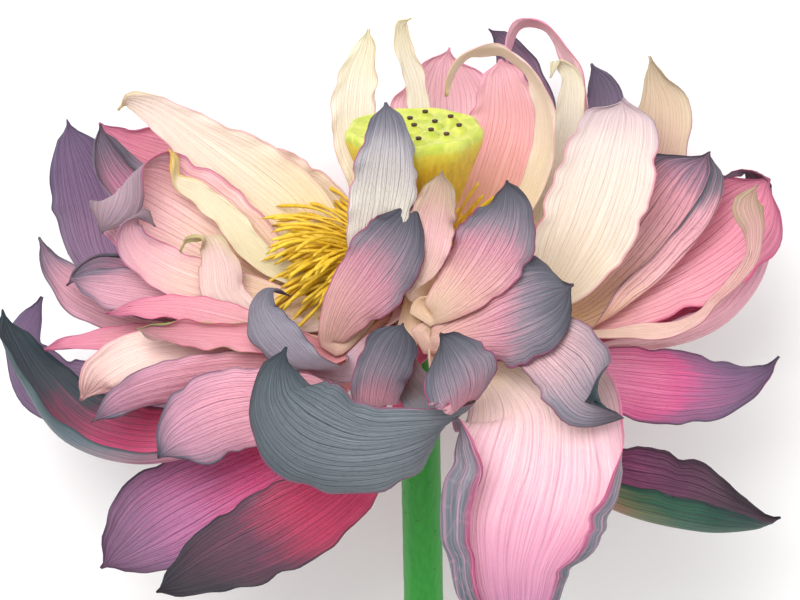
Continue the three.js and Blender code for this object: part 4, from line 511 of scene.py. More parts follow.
@lru_cache(maxsize=1)
def eased():
    """Each petal's lattice of shifts that keeps it clear of the others, the receptacle and the table."""
    v, u = np.linspace(0, 1, PROBE[0]), spread(PROBE[1])
    down, over = lattice_weights(v, u)
    forms = np.array([blade(petal, v, u) for petal in PETALS.values()])
    count = len(forms)
    shifts = np.zeros((count, *LATTICE, 3))
    sides, known = np.zeros((count, count, 3)), np.zeros((count, count), bool)
    for _ in range(ROUNDS):
        surface = forms + np.einsum("ra,cb,nabk->nrck", down, over, shifts)
        dv, du = np.gradient(surface, axis=1), np.gradient(surface, axis=2)
        rims = np.zeros_like(surface)
        rims[:, :, -1] += du[:, :, -1]
        rims[:, :, 0] -= du[:, :, 0]
        rims[:, -1] += dv[:, -1]
        rims[:, 0] -= dv[:, 0]
        flat = (count, PROBE[0] * PROBE[1], 3)
        push, hits = np.zeros(flat), np.zeros(flat[:2])
        normals = unit(np.cross(du, dv)).reshape(flat)
        margins = unit(rims).reshape(flat)
        for petal, sample, step in contacts(surface.reshape(flat), normals, margins, sides, known):
            np.add.at(push, (petal, sample), step)
            np.add.at(hits, (petal, sample), 1)
        push, hits = push.reshape(surface.shape), hits.reshape(surface.shape[:3])
        height = surface @ UP
        radial = surface - height[..., None] * UP
        radius = np.linalg.norm(radial, axis=3)
        inside = side_radius(height) + OFF_RECEPTACLE - radius
        inside[(height <= RECEPTACLE[0, 0]) | (height >= RECEPTACLE_TOP)] = 0
        inside[:, :2] = 0
        inside = np.maximum(inside, 0)
        push += radial / np.maximum(radius, 1e-6)[..., None] * inside[..., None]
        below = np.maximum(TABLE + OFF_TABLE - surface[..., 2], 0)
        push[..., 2] += below
        hits += (inside > 0) * 1.0 + (below > 0)
        push /= np.maximum(hits, 1)[..., None]
        share = np.einsum("ra,cb,nrc->nab", down, over, (hits > 0) * 1.0)
        shifts += 0.9 * np.einsum("ra,cb,nrck->nabk", down, over, push) / np.maximum(share, 0.3)[..., None]
        wide = np.pad(shifts, ((0, 0), (1, 1), (1, 1), (0, 0)), "edge")
        mean = (wide[:, 2:, 1:-1] + wide[:, :-2, 1:-1] + wide[:, 1:-1, 2:] + wide[:, 1:-1, :-2]) / 4
        shifts = (1 - BLEND) * shifts + BLEND * mean
    return dict(zip(PETALS, shifts))


def stalk_foot(radius):
    """Height on the axis of the cut end of a stalk that rests on the table."""
    return (TABLE + radius * cos(pi / STALK_SIDES) * np.hypot(BACK[2], RIGHT[2])) / UP[2]


@lru_cache(maxsize=1)
def to_row():
    """The move from the base of the receptacle to the row's origin, in metres, read off the solid stalk."""
    low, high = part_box("stem")
    turn = np.arange(STALK_SIDES)[:, None] * 2 * pi / STALK_SIDES + pi / STALK_SIDES
    rim = STALK_RADIUS * (np.sin(turn) * RIGHT - np.cos(turn) * BACK)
    ends = np.concatenate([rim + (RECEPTACLE[0, 0] - SEAT) * UP, rim + stalk_foot(STALK_RADIUS) * UP])
    shift = (np.array(low) + np.array(high)) / 2 - (ends.min(0) + ends.max(0)) / 2000
    return np.array([shift[0], shift[1], -TABLE / 1000])


# ---------------------------------------------------------------- sizes and colours a user can change
class PetalSettings(bpy.types.PropertyGroup):
    thickness: FloatProperty(
        name="Thickness", description="Thickness of a petal's blade", default=0.0006, min=0.0002,
        unit="LENGTH",
    )
    rows: IntProperty(name="Rows", description="Faces along a petal", default=76, min=24, max=120)
    columns: IntProperty(name="Columns", description="Faces across a petal", default=30, min=12, max=60)
    vein_depth: FloatProperty(
        name="Vein depth", description="How strongly the veins stand out", default=0.55, min=0, max=1,
        subtype="FACTOR",
    )
    roughness: FloatProperty(
        name="Roughness", description="Roughness of the waxy skin", default=0.52, min=0, max=1,
        subtype="FACTOR",
    )


class HeartSettings(bpy.types.PropertyGroup):
    face: FloatVectorProperty(
        name="Face", description="Colour of the receptacle's top", subtype="COLOR",
        default=(0.44, 0.52, 0.05), size=3,
    )
    flank: FloatVectorProperty(
        name="Flank", description="Colour of its side", subtype="COLOR", default=(0.68, 0.43, 0.02),
        size=3,
    )
    stigma: FloatVectorProperty(
        name="Stigma", description="Colour of the stigmas", subtype="COLOR", default=(0.075, 0.022, 0.008),
        size=3,
    )
    filament: FloatVectorProperty(
        name="Stamen", description="Colour of the stamens", subtype="COLOR", default=(0.94, 0.60, 0.03),
        size=3,
    )
    filaments: IntProperty(
        name="Stamens", description="How many stamens are left", default=250, min=10, max=300
    )
    filament_radius: FloatProperty(
        name="Stamen radius", description="Radius of a filament", default=0.00038, min=0.0001,
        unit="LENGTH",
    )


class StalkSettings(bpy.types.PropertyGroup):
    radius: FloatProperty(
        name="Radius", description="Radius of the stalk", default=STALK_RADIUS / 1000, min=0.002,
        unit="LENGTH",
    )
    green: FloatVectorProperty(
        name="Green", description="Colour of the stalk", subtype="COLOR", default=(0.010, 0.24, 0.014),
        size=3,
    )
    prickle: FloatProperty(
        name="Prickles", description="Height of the prickles", default=0.00018, min=0, unit="LENGTH"
    )


class StageSettings(bpy.types.PropertyGroup):
    floor: FloatVectorProperty(
        name="Floor", description="Colour of the floor", subtype="COLOR", default=(0.96, 0.96, 0.955),
        size=3,
    )
    key: FloatProperty(
        name="Key light", description="Power of the large soft light", default=17, min=0, unit="POWER"
    )
    sky: FloatProperty(name="Sky", description="Strength of the light from all round", default=0.94, min=0)


# ---------------------------------------------------------------- materials
RELIEF = 0.0005  # depth of veins and grain, metres
FINE_RELIEF = 0.0003


def rgba(colour):
    """A linear colour with alpha, from three linear values or from a hex value as it looks on a screen."""
    if isinstance(colour, str):
        channels = [int(colour[i : i + 2], 16) / 255 for i in (0, 2, 4)]
        colour = [c / 12.92 if c <= 0.04045 else ((c + 0.055) / 1.055) ** 2.4 for c in channels]
    return (*colour[:3], 1)


def tinted(colour, factors):
    return rgba([c * f for c, f in zip(colour, factors)])


class Channel:
    """A number that varies over a surface, so that shader maths reads as sums."""

    def __init__(self, paint, socket):
        self.paint, self.socket = paint, socket

    def math(self, operation, *inputs):
        node = self.paint.node("ShaderNodeMath", {"operation": operation}, dict(enumerate(inputs)))
        return Channel(self.paint, node.outputs[0])

    def __add__(self, other):
        return self.math("ADD", self, other)

    __radd__ = __add__

    def __mul__(self, other):
        return self.math("MULTIPLY", self, other)

    __rmul__ = __mul__

    def __sub__(self, other):
        return self.math("SUBTRACT", self, other)

    def __rsub__(self, other):
        return self.math("SUBTRACT", other, self)

    def __pow__(self, other):
        return self.math("POWER", self, other)

    def __abs__(self):
        return self.math("ABSOLUTE", self)

    def ramp(self, low, high):
        """0 below low and 1 above high, with a smooth rise between."""
        settings = {"interpolation_type": "SMOOTHSTEP"}
        inputs = {"Value": self, "From Min": low, "From Max": high}
        node = self.paint.node("ShaderNodeMapRange", settings, inputs)
        return Channel(self.paint, node.outputs[0])

    def lines(self, sharp):
        """Thin lines, one wherever the value passes a whole number."""
        return abs(self.math("FRACT", self) * 2 - 1).ramp(sharp, 1)


class Paint:
    """A material whose nodes are added one by one."""

    def __init__(self, name):
        self.material = bpy.data.materials.new(name)
        self.material.use_nodes = True
        self.tree = self.material.node_tree
        self.skin = self.tree.nodes["Principled BSDF"]

    def node(self, kind, settings=None, inputs=None):
        node = self.tree.nodes.new(kind)
        for key, value in (settings or {}).items():
            if key == "stops":
                self.stops(node.color_ramp, value)
            else:
                setattr(node, key, value)
        self.feed(node, inputs or {})
        return node

    def feed(self, node, inputs):
        for key, value in inputs.items():
            value = getattr(value, "socket", value)
            if isinstance(value, bpy.types.NodeSocket):
                self.tree.links.new(value, node.inputs[key])
            else:
                node.inputs[key].default_value = value

    @staticmethod
    def stops(ramp, stops):
        while len(ramp.elements) < len(stops):
            ramp.elements.new(1)
        for element, (place, colour) in zip(ramp.elements, stops):
            element.position, element.color = place, rgba(colour)

    def value(self, socket):
        return Channel(self, socket)

    def colours(self, factor, stops):
        return self.node("ShaderNodeValToRGB", {"stops": stops}, {0: factor}).outputs[0]

    def mix(self, factor, a, b, blend="MIX"):
        settings = {"data_type": "RGBA", "blend_type": blend}
        return self.node("ShaderNodeMix", settings, {0: factor, 6: a, 7: b}).outputs[2]

    def vector(self, x=0.0, y=0.0, z=0.0):
        return self.node("ShaderNodeCombineXYZ", None, {0: x, 1: y, 2: z}).outputs[0]

    def parts(self, vector):
        node = self.node("ShaderNodeSeparateXYZ", None, {0: vector})
        return [self.value(output) for output in node.outputs]

    def vector_math(self, operation, a, b):
        return self.node("ShaderNodeVectorMath", {"operation": operation}, {0: a, 1: b})

    def stretched(self, vector, scale):
        return self.node("ShaderNodeMapping", None, {"Vector": vector, "Scale": scale}).outputs[0]

    def place(self):
        return self.node("ShaderNodeTexCoord").outputs["Object"]

    def noise(self, vector, scale, detail=2.0, roughness=0.5):
        inputs = {"Vector": vector, "Scale": scale, "Detail": detail, "Roughness": roughness}
        return self.value(self.node("ShaderNodeTexNoise", None, inputs).outputs[0])

    def cells(self, vector, scale, feature="DISTANCE_TO_EDGE"):
        node = self.node("ShaderNodeTexVoronoi", {"feature": feature}, {"Vector": vector, "Scale": scale})
        return self.value(node.outputs["Distance"])

    def finish(self, colour, roughness, height=None, depth=RELIEF, strength=0.5, **steady):
        """Feeds the surface. The steady values are the same all over it."""
        self.feed(self.skin, {"Base Color": colour, "Roughness": roughness, **steady})
        if height is not None:
            inputs = {"Strength": strength, "Distance": depth, "Height": height}
            bump = self.node("ShaderNodeBump", None, inputs)
            self.feed(self.skin, {"Normal": bump.outputs[0]})
        return self.material


# Colours from claw to tip on the inner and the outer face, then of the rim and the veins.
SKINS = {
    "cream": (
        [(0, "f0cf6a"), (0.25, "f6e8c4"), (0.7, "f6eee0"), (0.93, "efe4c4"), (1, "bdb86c")],
        [(0, "f2dc98"), (0.35, "f5ecd4"), (0.8, "f4ebdf"), (0.95, "e6dcb8"), (1, "b4b068")],
        "e0a8a0", "dcc8a8",
    ),
    "creamrose": (
        [
            (0, "f6d070"), (0.25, "f8e4b8"), (0.6, "f5e2cf"), (0.85, "f3dcd2"), (0.97, "e4d4a0"),
            (1, "c09030"),
        ],
        [(0, "f6d478"), (0.25, "f6dfb4"), (0.6, "f3dccb"), (0.85, "f0d6d0"), (1, "c8a860")],
        "dc90a0", "e2c4b0",
    ),
    "blush": (
        [(0, "f8cc70"), (0.3, "f7cbb8"), (0.6, "f8d4d6"), (0.9, "f3bccb"), (1, "d88aa6")],
        [(0, "f8d090"), (0.35, "f5c8c0"), (0.7, "f4c2cc"), (0.92, "e8a4b8"), (1, "c87c9a")],
        "d2447c", "e09cb0",
    ),
    "creampink": (
        [(0, "f0c070"), (0.3, "ecd9b8"), (0.8, "e8d4cc"), (0.93, "cdb4ba"), (1, "a58a98")],
        [
            (0, "f4d888"), (0.25, "ece0c0"), (0.6, "e9e0d8"), (0.85, "dfd4d2"), (0.95, "c8b4c2"),
            (1, "a894aa"),
        ],
        "d8407c", "c9bab2",
    ),
    "creamtip": (
        [(0, "f4dc90"), (0.3, "f0e6bc"), (0.8, "f0e2c8"), (0.93, "e3c262"), (1, "d08a10")],
        [(0, "f6dc88"), (0.4, "f6e8c4"), (0.85, "f2e0c4"), (1, "cf9020")],
        "dca080", "dcc090",
    ),
    "creamcurl": (
        [(0, "f4dca0"), (0.3, "f3dcc6"), (0.75, "f0d2c8"), (0.9, "d8cf98"), (1, "a9b052")],
        [(0, "f6dcb0"), (0.4, "f3d6ca"), (0.75, "ecc8c4"), (0.92, "c8bc80"), (1, "8f9a40")],
        "c46c80", "cfa698",
    ),
    "pink": (
        [(0, "f8cc60"), (0.25, "f7c2a0"), (0.55, "f0aeb4"), (0.85, "e892a8"), (1, "b86488")],
        [(0, "f8cf90"), (0.3, "f3bcb4"), (0.65, "ea9caf"), (0.88, "c48098"), (1, "7c6880")],
        "cc3070", "bc5c7c",
    ),
    "pinkcream": (
        [(0, "f8cc78"), (0.3, "f5b4ac"), (0.5, "f2a4b4"), (0.75, "f5dccf"), (1, "e0b4b0")],
        [(0, "f6cc90"), (0.35, "f3b0b4"), (0.6, "f3c4c0"), (0.85, "f2d8cc"), (1, "d0a0a4")],
        "d05080", "d8889a",
    ),
    "salmon": (
        [(0, "f8d678"), (0.3, "f8c49c"), (0.6, "f6b2ae"), (0.9, "f6bfca"), (1, "e494ae")],
        [(0, "f8d290"), (0.4, "f3bab0"), (0.85, "eeaebc"), (1, "c88ca4")],
        "d65c84", "de949a",
    ),
    "peach": (
        [(0, "f5cf8c"), (0.3, "f5d4b8"), (0.65, "f2d0bf"), (0.85, "e4ceb0"), (1, "a8a080")],
        [(0, "f4d4a0"), (0.4, "f3d2bc"), (0.75, "e8ccbc"), (0.92, "b8a4a4"), (1, "75707c")],
        "a86c90", "cca494",
    ),
    "lilac": (
        [(0, "e7b0b4"), (0.4, "c79ab2"), (0.75, "a384a0"), (1, "4d4656")],
        [(0, "d9a8b2"), (0.4, "a088a4"), (0.75, "6c6080"), (1, "322f3e")],
        "2c2a36", "5c4c68",
    ),
    "grey": (
        [(0, "d9a0b0"), (0.4, "b898ac"), (0.8, "847890"), (1, "585264")],
        [(0, "c89aac"), (0.4, "a88ea4"), (0.8, "7c7088"), (1, "4a4656")],
        "4c4658", "74667e",
    ),
    "flap": (
        [
            (0, "f8c040"), (0.3, "f8cc78"), (0.45, "f7ceaa"), (0.6, "f2bcb8"), (0.8, "e8a4b2"),
            (0.88, "9c7c90"), (0.94, "565c66"), (1, "2a363c"),
        ],
        [
            (0, "f8c048"), (0.3, "f6c474"), (0.45, "f5c8a4"), (0.62, "f0b8b8"), (0.82, "e6a6b2"),
            (0.89, "80747f"), (0.94, "4c555e"), (1, "2c383e"),
        ],
        "2f383e", "7c4860",
    ),
    "pinkslate": (
        [
            (0, "f8ca60"), (0.28, "f7c2a8"), (0.55, "f4a8b8"), (0.74, "dc90aa"), (0.86, "77707e"),
            (1, "2c383e"),
        ],
        [
            (0, "f6d49c"), (0.3, "f3c0bc"), (0.58, "eaa6b6"), (0.76, "b48ca0"), (0.88, "60636e"),
            (1, "333e44"),
        ],
        "36404a", "84506c",
    ),
    "boat": (
        [
            (0, "f8c878"), (0.25, "f4aaa2"), (0.5, "e8749c"), (0.7, "cc4c80"), (0.8, "6c4a60"),
            (0.9, "3c4c54"), (1, "1c3036"),
        ],
        [
            (0, "f8d09c"), (0.35, "f5c6c4"), (0.6, "eaaab8"), (0.78, "b88ca0"), (0.88, "58606a"),
            (1, "22363a"),
        ],
        "26363c", "b8587e",
    ),
    "shrivel": (
        [(0, "f6d484"), (0.35, "f5dcc0"), (0.65, "f0c4bc"), (0.85, "dcb0a8"), (1, "8f9664")],
        [(0, "f4d08c"), (0.35, "f3d6c0"), (0.65, "e8b8b8"), (0.85, "c8b498"), (1, "71805c")],
        "a03860", "c86c82",
    ),
    "hotpink": (
        [
            (0, "f4c8d4"), (0.4, "f0acc4"), (0.58, "e87aa2"), (0.66, "dc6496"), (0.72, "a4688e"),
            (0.84, "6f607c"), (1, "2f464a"),
        ],
        [
            (0, "f4c0cc"), (0.4, "f0a4be"), (0.58, "e6709c"), (0.66, "d85c90"), (0.72, "9c6488"),
            (0.84, "685c76"), (1, "2c4246"),
        ],
        "4c3c50", "8c3868",
    ),
    "dark": (
        [
            (0, "f06488"), (0.3, "d04c78"), (0.5, "a4507c"), (0.7, "7c4868"), (0.86, "54404c"),
            (1, "242c2c"),
        ],
        [
            (0, "ee5878"), (0.36, "dc4c5c"), (0.52, "b8604e"), (0.62, "6c7048"), (0.72, "2c6048"),
            (0.88, "1c4c40"), (1, "1c3434"),
        ],
        "1c2428", "3a2434",
    ),
    "front": (
        [
            (0, "f8cc88"), (0.3, "f6d2bc"), (0.55, "efb8b8"), (0.72, "c98e9e"), (0.82, "75727c"),
            (0.92, "4c515a"), (1, "2c3038"),
        ],
        [
            (0, "f8d298"), (0.25, "f7d4b8"), (0.46, "e8b0aa"), (0.64, "cc8c9c"), (0.74, "8a7c88"),
            (0.84, "5f626c"), (1, "2c3038"),
        ],
        "b83474", "5c4658",
    ),
    "tall": (
        [(0, "e8a0a8"), (0.4, "e4ccc8"), (0.75, "c8b4c0"), (1, "5c586a")],
        [
            (0, "e06c98"), (0.14, "efaebb"), (0.32, "e9d6c8"), (0.6, "dcd4c6"), (0.76, "b8b2b6"),
            (0.88, "74737e"), (1, "484a56"),
        ],
        "dc3c88", "6c6478",
    ),
    "slate": (
        [(0, "e0b0b0"), (0.12, "b8969c"), (0.3, "84838a"), (0.7, "6c7378"), (1, "3c444c")],
        [
            (0, "e0a8b4"), (0.1, "b08e98"), (0.22, "7c7c84"), (0.6, "6a7278"), (0.86, "525b62"),
            (1, "2c343c"),
        ],
        "9c4c70", "1c242c",
    ),
    "stripe": (
        [(0, "f0b8b0"), (0.35, "d4b0bc"), (0.7, "94889a"), (1, "4a4a58")],
        [(0, "f6c0b0"), (0.3, "dcb8c4"), (0.6, "a89eac"), (0.82, "74727e"), (1, "3c3f4a")],
        "3a3444", "34323f",
    ),
    "bigfront": (
        [
            (0, "f8ca30"), (0.12, "f8dc88"), (0.28, "f3d8c4"), (0.5, "ecc0c8"), (0.7, "e09cb4"),
            (0.84, "c080a0"), (0.93, "8c7c90"), (1, "6c6878"),
        ],
        [(0, "f0c078"), (0.15, "d8a0a4"), (0.35, "8a8088"), (0.7, "636b74"), (1, "48535c")],
        "cc3c78", "cc96ae",
    ),
    "greycurl": (
        [(0, "f8d4a4"), (0.3, "f3c8bc"), (0.6, "dcb0b6"), (0.82, "8c8490"), (1, "3c4248")],
        [(0, "f0c4a8"), (0.3, "c8a4a8"), (0.55, "80848a"), (0.8, "48595e"), (1, "1c3034")],
        "8c3c60", "343c4c",
    ),
    "purple": (
        [
            (0, "e82058"), (0.2, "e03068"), (0.3, "b8789c"), (0.6, "a07a9a"), (0.85, "80668a"),
            (1, "4c4860"),
        ],
        [
            (0, "e83468"), (0.24, "c06890"), (0.45, "a884a2"), (0.7, "90708e"), (0.9, "74607e"),
            (1, "444658"),
        ],
        "202c32", "5c4464",
    ),
    "mauve": (
        [
            (0, "f8d08c"), (0.3, "f8c8b4"), (0.62, "f2b2bd"), (0.82, "d8a0b0"), (0.92, "7a7282"),
            (1, "485058"),
        ],
        [
            (0, "f7d09c"), (0.3, "f5c8bc"), (0.64, "eeb0bb"), (0.82, "c898a8"), (0.92, "6c6c78"),
            (1, "3f4852"),
        ],
        "4a4a58", "8c5c74",
    ),
    "mauvepink": (
        [
            (0, "f8bc84"), (0.3, "f6b0b0"), (0.64, "f09cb0"), (0.83, "cc889e"), (0.92, "5f606c"),
            (1, "37424a"),
        ],
        [
            (0, "f8c49c"), (0.3, "f6b8ba"), (0.64, "eea4b4"), (0.82, "c490a4"), (0.92, "5c6470"),
            (1, "2c4046"),
        ],
        "36424a", "94587a",
    ),
    "peachslate": (
        [
            (0, "f8dc80"), (0.3, "f8dab4"), (0.55, "f5cfc0"), (0.75, "efb4be"), (0.9, "98788e"),
            (1, "4c4c58"),
        ],
        [(0, "f7d894"), (0.35, "f3ccb8"), (0.6, "e6b4bc"), (0.8, "a4909c"), (1, "3a3e46")],
        "c03c78", "c48890",
    ),
    "boatslate": (
        [(0, "f6b07c"), (0.3, "ee7494"), (0.6, "cc4c78"), (0.78, "4c545c"), (1, "1e3238")],
        [
            (0, "f6bca0"), (0.3, "f0acb6"), (0.5, "c88c9c"), (0.66, "66707a"), (0.82, "3a5458"),
            (1, "1a3438"),
        ],
        "1c2e34", "3c4a52",
    ),
    "greentip": (
        [(0, "f6bc90"), (0.3, "f3a0ac"), (0.6, "ee98ac"), (0.85, "d4809a"), (1, "8a6a70")],
        [(0, "f4b09c"), (0.35, "e69098"), (0.55, "b0c068"), (0.85, "86b840"), (1, "b04c6c")],
        "b83c60", "7c9a40",
    ),
    "purplehot": (
        [
            (0, "f8c0cc"), (0.28, "f48cb4"), (0.52, "e85c92"), (0.68, "b86e9a"), (0.84, "84607e"),
            (1, "34343f"),
        ],
        [
            (0, "f6b4c4"), (0.3, "f288b0"), (0.52, "e26098"), (0.68, "b06a98"), (0.84, "7c5c7a"),
            (1, "2f303c"),
        ],
        "1c2830", "6c2c54",
    ),
    "darkred": (
        [
            (0, "f48aac"), (0.33, "ea3a70"), (0.56, "c02c5c"), (0.72, "603448"), (0.88, "343640"),
            (1, "202830"),
        ],
        [
            (0, "f694b0"), (0.33, "ee4878"), (0.54, "c83c62"), (0.7, "644052"), (0.86, "38383f"),
            (1, "1c282e"),
        ],
        "14242a", "481a32",
    ),
    "under": (
        [(0, "f0a890"), (0.35, "dc7c94"), (0.65, "9c6484"), (0.88, "4c5458"), (1, "2c3c3c")],
        [(0, "c8b070"), (0.3, "a88c74"), (0.6, "7c6474"), (0.85, "3f5450"), (1, "223c38")],
        "24343a", "6c5468",
    ),
}


def petal_paint(skin, outside, settings):
    """One face of a petal: colour from claw to tip, streaks, veins along the blade, and a tinted rim."""
    stops, (rim, vein) = SKINS[skin][outside], SKINS[skin][2:]
    paint = Paint(f"{skin} petal, {'outer' if outside else 'inner'} face")
    uv = paint.node("ShaderNodeUVMap", {"uv_map": "petal"}).outputs[0]
    across, along_petal, _ = paint.parts(uv)
    across = across * 2 - 1
    away = abs(across)
    streak = paint.noise(paint.vector(across * 13, along_petal * 1.6), 1, 3, 0.65)
    fibre = paint.noise(paint.vector(across * 60, along_petal * 2.5), 1, 1, 0.7)
    blotch = paint.noise(paint.place(), 55, 2)
    wander = paint.noise(paint.vector(across * 2, along_petal * 3), 1, 0) - 0.5
    wave = paint.noise(paint.vector(across * 6, along_petal * 9), 1, 0) - 0.5
    main = (across * 9 + wander * 1.4 + wave * 0.5).lines(0.76)
    fine = (across * 24 + wander * 4 + wave * 1.6).lines(0.5)
    net = 1 - paint.cells(paint.vector(across * 17, along_petal * 24), 1).ramp(0.0, 0.12)
    grown = along_petal.ramp(0.05, 0.3)
    veins = (main * 0.9 + fine * 0.4 + net * 0.25) * grown * (streak * 0.9 + 0.45)
    place = along_petal * 0.93 + (streak - 0.5) * 0.2 + (blotch - 0.5) * 0.14 + away**4 * 0.1 * grown
    flesh = paint.colours(place, stops)
    fringe = (away + (streak - 0.5) * 0.12).ramp(0.93, 1.02) * along_petal.ramp(0.2, 0.5)
    fringe = fringe * (1 - along_petal.ramp(0.82, 0.94))
    flesh = paint.mix(fringe * 0.75, flesh, rgba(rim))
    flesh = paint.mix(veins * (0.3 + along_petal * 0.4), flesh, rgba(vein))
    flesh = paint.mix(0.6, flesh, (fibre - 0.5) * 1.3 + 0.5, "SOFT_LIGHT")
    rough = settings.roughness + (blotch - 0.5) * 0.25 - veins * 0.06
    height = streak * 0.8 + fibre * 0.3 + veins * (0.8 if outside else -0.6)
    return paint.finish(flesh, rough, height, RELIEF, settings.vein_depth, **{"Specular IOR Level": 0.3})


def receptacle_paint(heart):
    paint = Paint("receptacle")
    shift = Vector(to_row())
    place = paint.vector_math("SUBTRACT", paint.place(), shift).outputs[0]
    height = paint.value(paint.vector_math("DOT_PRODUCT", place, Vector(UP)).outputs["Value"]) * 1000
    blotch = paint.noise(place, 130, 4, 0.6)
    grain = paint.noise(place, 900, 3, 0.6)
    streak = paint.noise(paint.stretched(place, (900, 60, 300)), 1, 3)
    ridge = 1 - paint.cells(place, 145).ramp(0.0, 0.16)
    face = paint.mix(blotch.ramp(0.3, 0.75), rgba(heart.face), tinted(heart.face, (1.25, 1.12, 1.3)))
    face = paint.mix(ridge * 0.35, face, rgba((0.80, 0.78, 0.20)))
    flank = paint.mix(streak.ramp(0.3, 0.8), rgba(heart.flank), tinted(heart.flank, (0.72, 0.70, 0.6)))
    flank = paint.mix((height + (blotch - 0.5) * 10).ramp(50, 62), flank, rgba((0.66, 0.60, 0.05)))
    flank = paint.mix((height + (blotch - 0.5) * 8).ramp(12, 30), rgba((0.72, 0.66, 0.20)), flank)
    flesh = paint.mix((height + (blotch - 0.5) * 1.5).ramp(57, 59), flank, face)
    flesh = paint.mix(0.3, flesh, (grain - 0.5) * 1.2 + 0.5, "SOFT_LIGHT")
    rough = 0.42 + (blotch - 0.5) * 0.25
    relief = blotch * 0.6 + grain * 0.25 + streak * 0.3
    return paint.finish(flesh, rough, relief, RELIEF, 0.5)


def speckled_paint(name, colour, dark, scale, rough):
    """Flesh of one colour with darker specks, for the stigmas, the stamens and the cut end."""
    paint = Paint(name)
    speck = paint.noise(paint.place(), scale, 4, 0.6)
    shade = paint.noise(paint.place(), scale / 9, 2)
    flesh = paint.mix(speck.ramp(0.35, 0.75), tinted(colour, [dark] * 3), rgba(colour))
    flesh = paint.mix(shade.ramp(0.4, 0.8) * 0.5, flesh, rgba([min(1, c * 1.25 + 0.03) for c in colour]))
    return paint.finish(flesh, rough + (speck - 0.5) * 0.2, speck, FINE_RELIEF, 0.4)


def stalk_paint(stalk):
    paint = Paint("stalk")
    place = paint.place()
    streak = paint.noise(paint.stretched(place, (900, 14, 900)), 1, 4, 0.6)
    blotch = paint.noise(place, 45, 3)
    prickle = 1 - paint.cells(place, 330, "F1").ramp(0.05, 0.22)
    flesh = paint.mix(streak.ramp(0.3, 0.75), rgba(stalk.green), tinted(stalk.green, (1.7, 1.25, 1.5)))
    flesh = paint.mix(blotch.ramp(0.45, 0.8) * 0.2, flesh, rgba((0.05, 0.34, 0.02)))
    flesh = paint.mix(prickle * 0.3, flesh, rgba((0.02, 0.12, 0.012)))
    return paint.finish(flesh, 0.38 + (blotch - 0.5) * 0.2, streak * 0.4 + prickle, stalk.prickle * 2, 0.6)


def floor_paint(colour):
    paint = Paint("pale floor")
    mottle = paint.noise(paint.place(), 9, 4)
    tone = paint.mix(mottle.ramp(0.3, 0.7), rgba(colour), tinted(colour, [0.985] * 3))
    return paint.finish(tone, 0.7 + (mottle - 0.5) * 0.1)


# ---------------------------------------------------------------- modelling
def add_piece(name, bm, materials, nodes=()):
    """Makes an object of a finished bmesh, in the row frame; when it stands for solids, hangs it on the root
    body and hides them.
    """
    mesh = bpy.data.meshes.new(name)
    bm.to_mesh(mesh)
    bm.free()
    for material in materials:
        mesh.materials.append(material)
    mesh.shade_smooth()
    piece = bpy.data.objects.new(name, mesh)
    bpy.context.scene.collection.objects.link(piece)
    if nodes:
        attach(piece, "root")
        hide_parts(*nodes)
    return piece


def row_metres(points):
    return np.asarray(points) / 1000 + to_row()


def crinkle(surface, v, u, phase):
    """Small ripples of a thin blade, strongest at its margins, in millimetres."""
    dv, du = np.gradient(surface, axis=0), np.gradient(surface, axis=1)
    normal = unit(np.cross(du, dv))
    v, away = v[:, None], np.abs(u)[None]
    rim = smooth((away - 0.55) / 0.45) * smooth((v - 0.3) / 0.3)
    ripple = 0.5 * np.sin(v * 34 + phase + 2 * np.sign(u)) + 0.36 * np.sin(v * 61 + phase * 2 + away * 5)
    pleat = 0.10 * np.sin(u[None] * 21 + phase + 3 * v) * smooth((v - 0.2) / 0.3) * (1 - away**4)
    return surface + (ripple * rim + pleat)[..., None] * normal


def ragged(surface, v, u, phase):
    """Uneven margins, as of a blade that has begun to wilt."""
    v, away, side = v[:, None], np.abs(u)[None], np.sign(u)[None]
    bite = (1 + np.sin(v * 29 + 7 * v * v + phase + side)) * (1 + np.sin(v * 71 - 2 * phase + 4 * side)) / 4
    bite = 0.09 * bite * smooth((away - 0.5) / 0.5) * smooth((v - 0.35) / 0.3)
    bite = np.maximum(bite, 0.8 * smooth((v - 0.95) / 0.05))
    middle = surface[:, [len(u) // 2]]
    return surface + bite[..., None] * (middle - surface)


def petal_sheet(petal, shifts, settings, phase):
    """A fine grid of faces on the petal's middle surface, with its own map across and along the blade."""
    rows, columns = settings.rows, settings.columns
    v, u = np.linspace(0, 1, rows + 1), spread(columns + 1)
    down, over = lattice_weights(v, u)
    surface = blade(petal, v, u) + np.einsum("ra,cb,abk->rck", down, over, shifts)
    surface[..., 2] = np.maximum(surface[..., 2], TABLE + 0.4)  # the blade's half-thickness in the solids
    surface = row_metres(crinkle(ragged(surface, v, u, phase), v, u, phase))
    surface[..., 2] = np.maximum(surface[..., 2], settings.thickness / 2)
    bm = bmesh.new()
    thickness = bm.verts.layers.deform.verify()
    chart = bm.loops.layers.uv.new("petal")
    bmesh.ops.create_grid(bm, x_segments=columns, y_segments=rows, size=1)
    for vert in bm.verts:
        i, j = round((vert.co.y + 1) / 2 * rows), round((vert.co.x + 1) / 2 * columns)
        for loop in vert.link_loops:
            loop[chart].uv = (u[j] / 2 + 0.5, v[i])
        vert.co = surface[i, j]
        edge = max(smooth((abs(u[j]) - 0.8) / 0.2), smooth((v[i] - 0.93) / 0.07))
        vert[thickness][0] = 1 - 0.65 * float(edge)
    return bm


